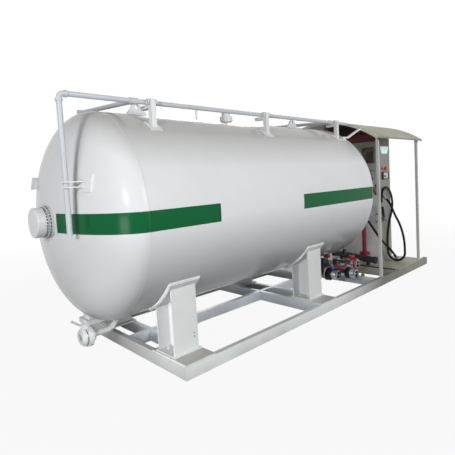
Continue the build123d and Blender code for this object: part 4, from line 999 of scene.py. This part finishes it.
for x, z, length in COUPLINGS[:2]:
    y = COUPLING_START - length * STEM_SHARE
    spin(reds, STEM_PROFILE, (x, y, z), UPWARD, 16)
    low, high = ((x + dx, y + dy, z + dz) for dx, dy, dz in LEVER_CORNERS)
    block(reds, low, high, LEVER_EDGE)
finish_piece("coupling_red_parts", reds, lever_red, "lever_red", "coupling_levers")

# %% White ring, blue cap and header valve
WHITE_PROFILE = mm((0, 44), (0, 84), (3, 87), (9, 87), (12, 84), (12, 44), (0, 44))
BLUE_PROFILE = mm((30, 0), (30, 10), (72, 10), (72, 21), (78, 24), (100, 24), (108, 18), (110, 0))
VALVE_PROFILE = mm(
    (0, 0), (0, 34), (10, 34), (10, 22), (50, 22), (50, 30), (78, 30), (78, 12), (146, 10), (146, 0),
)
KNOB_PROFILE = mm(
    (138, 0), (138, 16), (146, 42), (150, 46), (176, 46), (182, 40), (172, 16), (186, 14), (186, 0),
)
HEADER_VALVE, WHITE_RING_AT, TEST_POINT_AT = (0.800, -0.300, 0.262), 0.044, 0.132
x, z, length = COUPLINGS[0]
white_ring = (x, COUPLING_START - WHITE_RING_AT, z)
turned_piece("coupling_white_ring", [(WHITE_PROFILE, white_ring, TOWARDS_HOSE, 48)],
             white_enamel, "fitting_white")
test_point = (x, COUPLING_START - TEST_POINT_AT, z)
turned_piece("test_point_cap", [(BLUE_PROFILE, test_point, UPWARD, 24, 12, 0.002)],
             blue_plastic, "control_plastic")
turned_piece("header_valve", [(VALVE_PROFILE, HEADER_VALVE, UPWARD, 24)], machine_paint, "machine_paint")
turned_piece("header_valve_wheel", [(KNOB_PROFILE, HEADER_VALVE, UPWARD, 60, 10, 0.006)],
             riser_red, "pipe_red")

# %% [markdown]
# The cabinet's hose side carries an emergency button with an indicator beside it, and a small switch
# box with a dark frame. Each is a few turned or bevelled shapes on the sheet, a little proud.

# %% Cabinet front fittings
NEAR_FACE, BUTTON_Z, BOX_Z, CABINET_X = -0.450, 1.598, 1.483, 2.291
BUTTON_PROFILE = mm((10, 0), (10, 20), (22, 20), (24, 34), (30, 36), (36, 32), (40, 20), (41, 0))
COLLAR_PROFILE = mm((0, 0), (0, 40), (6, 42), (12, 38), (12, 0))
INDICATOR_PROFILE = mm((0, 0), (0, 20), (14, 19), (20, 12), (22, 0))
SWITCH_PROFILE = mm((0, 0), (0, 17), (16, 15), (18, 10), (18, 0))
button_at = (CABINET_X, NEAR_FACE, BUTTON_Z)
INDICATOR_BESIDE, INDICATOR_RISE = 0.068, 0.002
indicator_at = (CABINET_X - INDICATOR_BESIDE, NEAR_FACE, BUTTON_Z + INDICATOR_RISE)
turned_piece("stop_button", [(BUTTON_PROFILE, button_at, TOWARDS_HOSE),
                             (INDICATOR_PROFILE, indicator_at, TOWARDS_HOSE, 24)],
             red_plastic, "control_plastic", "cabinet_controls")
BOX_HALF, BOX_TALL, FRAME_WIDTH, FRAME_EDGE = 0.095, 0.059, 0.017, 0.003
POST_DEPTH, BAR_DEPTH, BAR_INSET = 0.034, 0.033, 0.004
PLATE_DEPTH, PLATE_INSET, PLATE_EDGE = 0.025, 0.012, 0.002
SWITCH_BESIDE, SWITCH_OUT, SWITCH_DROP = 0.036, 0.024, 0.008
frame_box, face_plate = bmesh.new(), bmesh.new()
for side in (-1, 1):
    edge_x = CABINET_X + side * (BOX_HALF - FRAME_WIDTH / 2)
    block(frame_box, (edge_x - FRAME_WIDTH / 2, NEAR_FACE - POST_DEPTH, BOX_Z - BOX_TALL),
          (edge_x + FRAME_WIDTH / 2, NEAR_FACE, BOX_Z + BOX_TALL), FRAME_EDGE)
    edge_z = BOX_Z + side * (BOX_TALL - FRAME_WIDTH / 2)
    block(frame_box, (CABINET_X - BOX_HALF + BAR_INSET, NEAR_FACE - BAR_DEPTH, edge_z - FRAME_WIDTH / 2),
          (CABINET_X + BOX_HALF - BAR_INSET, NEAR_FACE, edge_z + FRAME_WIDTH / 2), FRAME_EDGE)
switch_at = (CABINET_X - SWITCH_BESIDE, NEAR_FACE - SWITCH_OUT, BOX_Z - SWITCH_DROP)
spin(frame_box, SWITCH_PROFILE, switch_at, TOWARDS_HOSE, 24)
plate_half, plate_tall = BOX_HALF - PLATE_INSET, BOX_TALL - PLATE_INSET
block(face_plate, (CABINET_X - plate_half, NEAR_FACE - PLATE_DEPTH, BOX_Z - plate_tall),
      (CABINET_X + plate_half, NEAR_FACE, BOX_Z + plate_tall), PLATE_EDGE)
finish_piece("switch_box_frame", frame_box, box_brown, "control_plastic")
finish_piece("switch_box_face", face_plate, white_enamel, "fitting_white")
turned_piece("button_collar", [(COLLAR_PROFILE, button_at, TOWARDS_HOSE)], white_enamel, "fitting_white")

# %% [markdown]
# The cabinet's tank side has a display window, a hook with a short bracket, a second nozzle in red
# and black, and two small locks. The tank hides most of it from the front, but it shows from the
# side, so each fitting sits on the sheet.

# %% Cabinet tank side fittings
TANK_FACE = 2.086
WINDOW_Y, WINDOW_Z, WINDOW_EDGE = (-0.390, -0.190), (1.690, 1.940), 0.014
WINDOW_DEPTH, WINDOW_INSET, WINDOW_ROUND = 0.014, 0.002, 0.003
GLASS_DEPTH, GLASS_INSET, GLASS_ROUND = 0.006, 0.012, 0.001
HOOK_PATH = mm((0, -330, 1575), (46, -334, 1570), (52, -345, 1530), (30, -350, 1510))
LOCK_PROFILE = mm((0, 0), (0, 13), (10, 12), (12, 8), (12, 0))
LOCK_Y, LOCK_Z = -0.415, (0.884, 0.765)
HOOK_RADIUS, CATCH_ROUND = 0.007, 0.002
CATCHES = ((0.010, (-0.352, -0.340), (1.420, 1.470)), (0.008, (-0.404, -0.396), (1.300, 1.360)))
window, glass, dark, red = bmesh.new(), bmesh.new(), bmesh.new(), bmesh.new()
(y_low, y_high), (z_low, z_high) = WINDOW_Y, WINDOW_Z
for y0, y1, z0, z1 in (
        (y_low, y_low + WINDOW_EDGE, z_low, z_high), (y_high - WINDOW_EDGE, y_high, z_low, z_high),
        (y_low + WINDOW_INSET, y_high - WINDOW_INSET, z_low, z_low + WINDOW_EDGE),
        (y_low + WINDOW_INSET, y_high - WINDOW_INSET, z_high - WINDOW_EDGE, z_high)):
    block(window, (TANK_FACE - WINDOW_DEPTH, y0, z0), (TANK_FACE, y1, z1), WINDOW_ROUND)
block(glass, (TANK_FACE - GLASS_DEPTH, y_low + GLASS_INSET, z_low + GLASS_INSET),
      (TANK_FACE, y_high - GLASS_INSET, z_high - GLASS_INSET), GLASS_ROUND)
bent_bar(dark, [Vector((TANK_FACE - out, y, z)) for out, y, z in HOOK_PATH], HOOK_RADIUS)
for depth, (y0, y1), (z0, z1) in CATCHES:
    block(dark, (TANK_FACE - depth, y0, z0), (TANK_FACE, y1, z1), CATCH_ROUND)
for z in LOCK_Z:
    spin(dark, LOCK_PROFILE, (TANK_FACE, LOCK_Y, z), OUTWARD, 20)
SECOND_X = TANK_FACE - 0.026
SECOND_BARS = (
    (red, (-0.366, 1.292), (-0.404, 1.214), 0.019), (dark, (-0.356, 1.310), (-0.366, 1.290), 0.015),
    (dark, (-0.404, 1.216), (-0.414, 1.186), 0.013),
)
PEG_PLACE, PEG_LENGTH, PEG_RADIUS = (-0.385, 1.253), 0.030, 0.010
for shape, start, end, radius in SECOND_BARS:
    bar(shape, (SECOND_X, *start), (SECOND_X, *end), radius, 20)
bar(dark, (TANK_FACE, *PEG_PLACE), (TANK_FACE - PEG_LENGTH, *PEG_PLACE), PEG_RADIUS, 16)
finish_piece("display_frame", window, box_brown, "control_plastic")
finish_piece("display_glass", glass, glass_dark, "lamp_glass")
finish_piece("tank_side_hooks", dark, black_plastic, "nozzle_black")
finish_piece("second_nozzle", red, riser_red, "pipe_red")

# %% [markdown]
# Above the maroon band a plate, painted dark as the roof's shade, runs on up to the curved roof, so no
# daylight shows over the cabinet. The plate's top edge is the roof's own arc, a sheet's thickness lower.

# %% Header gable
GABLE_HALF, GABLE_FOOT, GABLE_THICK, GABLE_STEPS = 0.460, 2.152, 0.012, 24
ROOF_RADIUS, ROOF_CENTRE_Z, ROOF_SHEET = 1.5046, 0.8054, 0.004
GABLE_X = (TANK_FACE - GABLE_THICK, TANK_FACE)
gable = bmesh.new()
places = [GABLE_HALF * (2 * step / GABLE_STEPS - 1) for step in range(GABLE_STEPS + 1)]
arc = [(y, ROOF_CENTRE_Z + ((ROOF_RADIUS - ROOF_SHEET) ** 2 - y ** 2) ** 0.5) for y in places]
outline = [(-GABLE_HALF, GABLE_FOOT), (GABLE_HALF, GABLE_FOOT), *reversed(arc)]
left_side, right_side = ([gable.verts.new((x, y, z)) for y, z in outline] for x in GABLE_X)
gable.faces.new(left_side)
gable.faces.new(right_side)
for index, corner in enumerate(left_side):
    after = (index + 1) % len(outline)
    gable.faces.new((corner, left_side[after], right_side[after], right_side[index]))
finish_piece("header_gable", gable, gable_shade, "header_maroon")

# %% [markdown]
# Short ferrules crimp the rubber where a hose meets its swivel or coupling, and thin collars hold
# the spray pipe to its supports. Both are turned rings set over the tube.

# %% Ferrules and pipe collars
INNER = HOSE_RADIUS + 0.0004
FERRULE_PROFILE = (
    (0, INNER), (0, 0.0215), (0.006, 0.0225), (0.012, 0.0205), (0.018, 0.0225), (0.024, 0.0205),
    (0.030, 0.0225), (0.036, 0.0205), (0.036, INNER), (0, INNER),
)
ferrule_turns = [(FERRULE_PROFILE, points[0], points[1] - points[0], 24)
                 for points in (hose_points, side_points)]
turned_piece("hose_ferrules", ferrule_turns, zinc_steel, "fitting_steel")
MAIN_Y, MAIN_Z, MAIN_INNER = -0.533, 2.222, 0.019
CLIP_PROFILE = (
    (0, MAIN_INNER), (0, 0.0235), (0.003, 0.025), (0.009, 0.025), (0.012, 0.0235), (0.012, MAIN_INNER),
    (0, MAIN_INNER),
)
SUPPORT_PLACES, CLIP_SHIFTS = (-2.022, -0.614, 0.774), (-0.045, 0.033)
clip_turns = [(CLIP_PROFILE, (x + shift, MAIN_Y, MAIN_Z), (1, 0, 0))
              for x in SUPPORT_PLACES for shift in CLIP_SHIFTS]
turned_piece("spray_pipe_collars", clip_turns, white_enamel, "fitting_white")

# %% [markdown]
# Dressing must not change the station's size, so the box of the dressed station is measured here.

# %% Sizes
low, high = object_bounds()
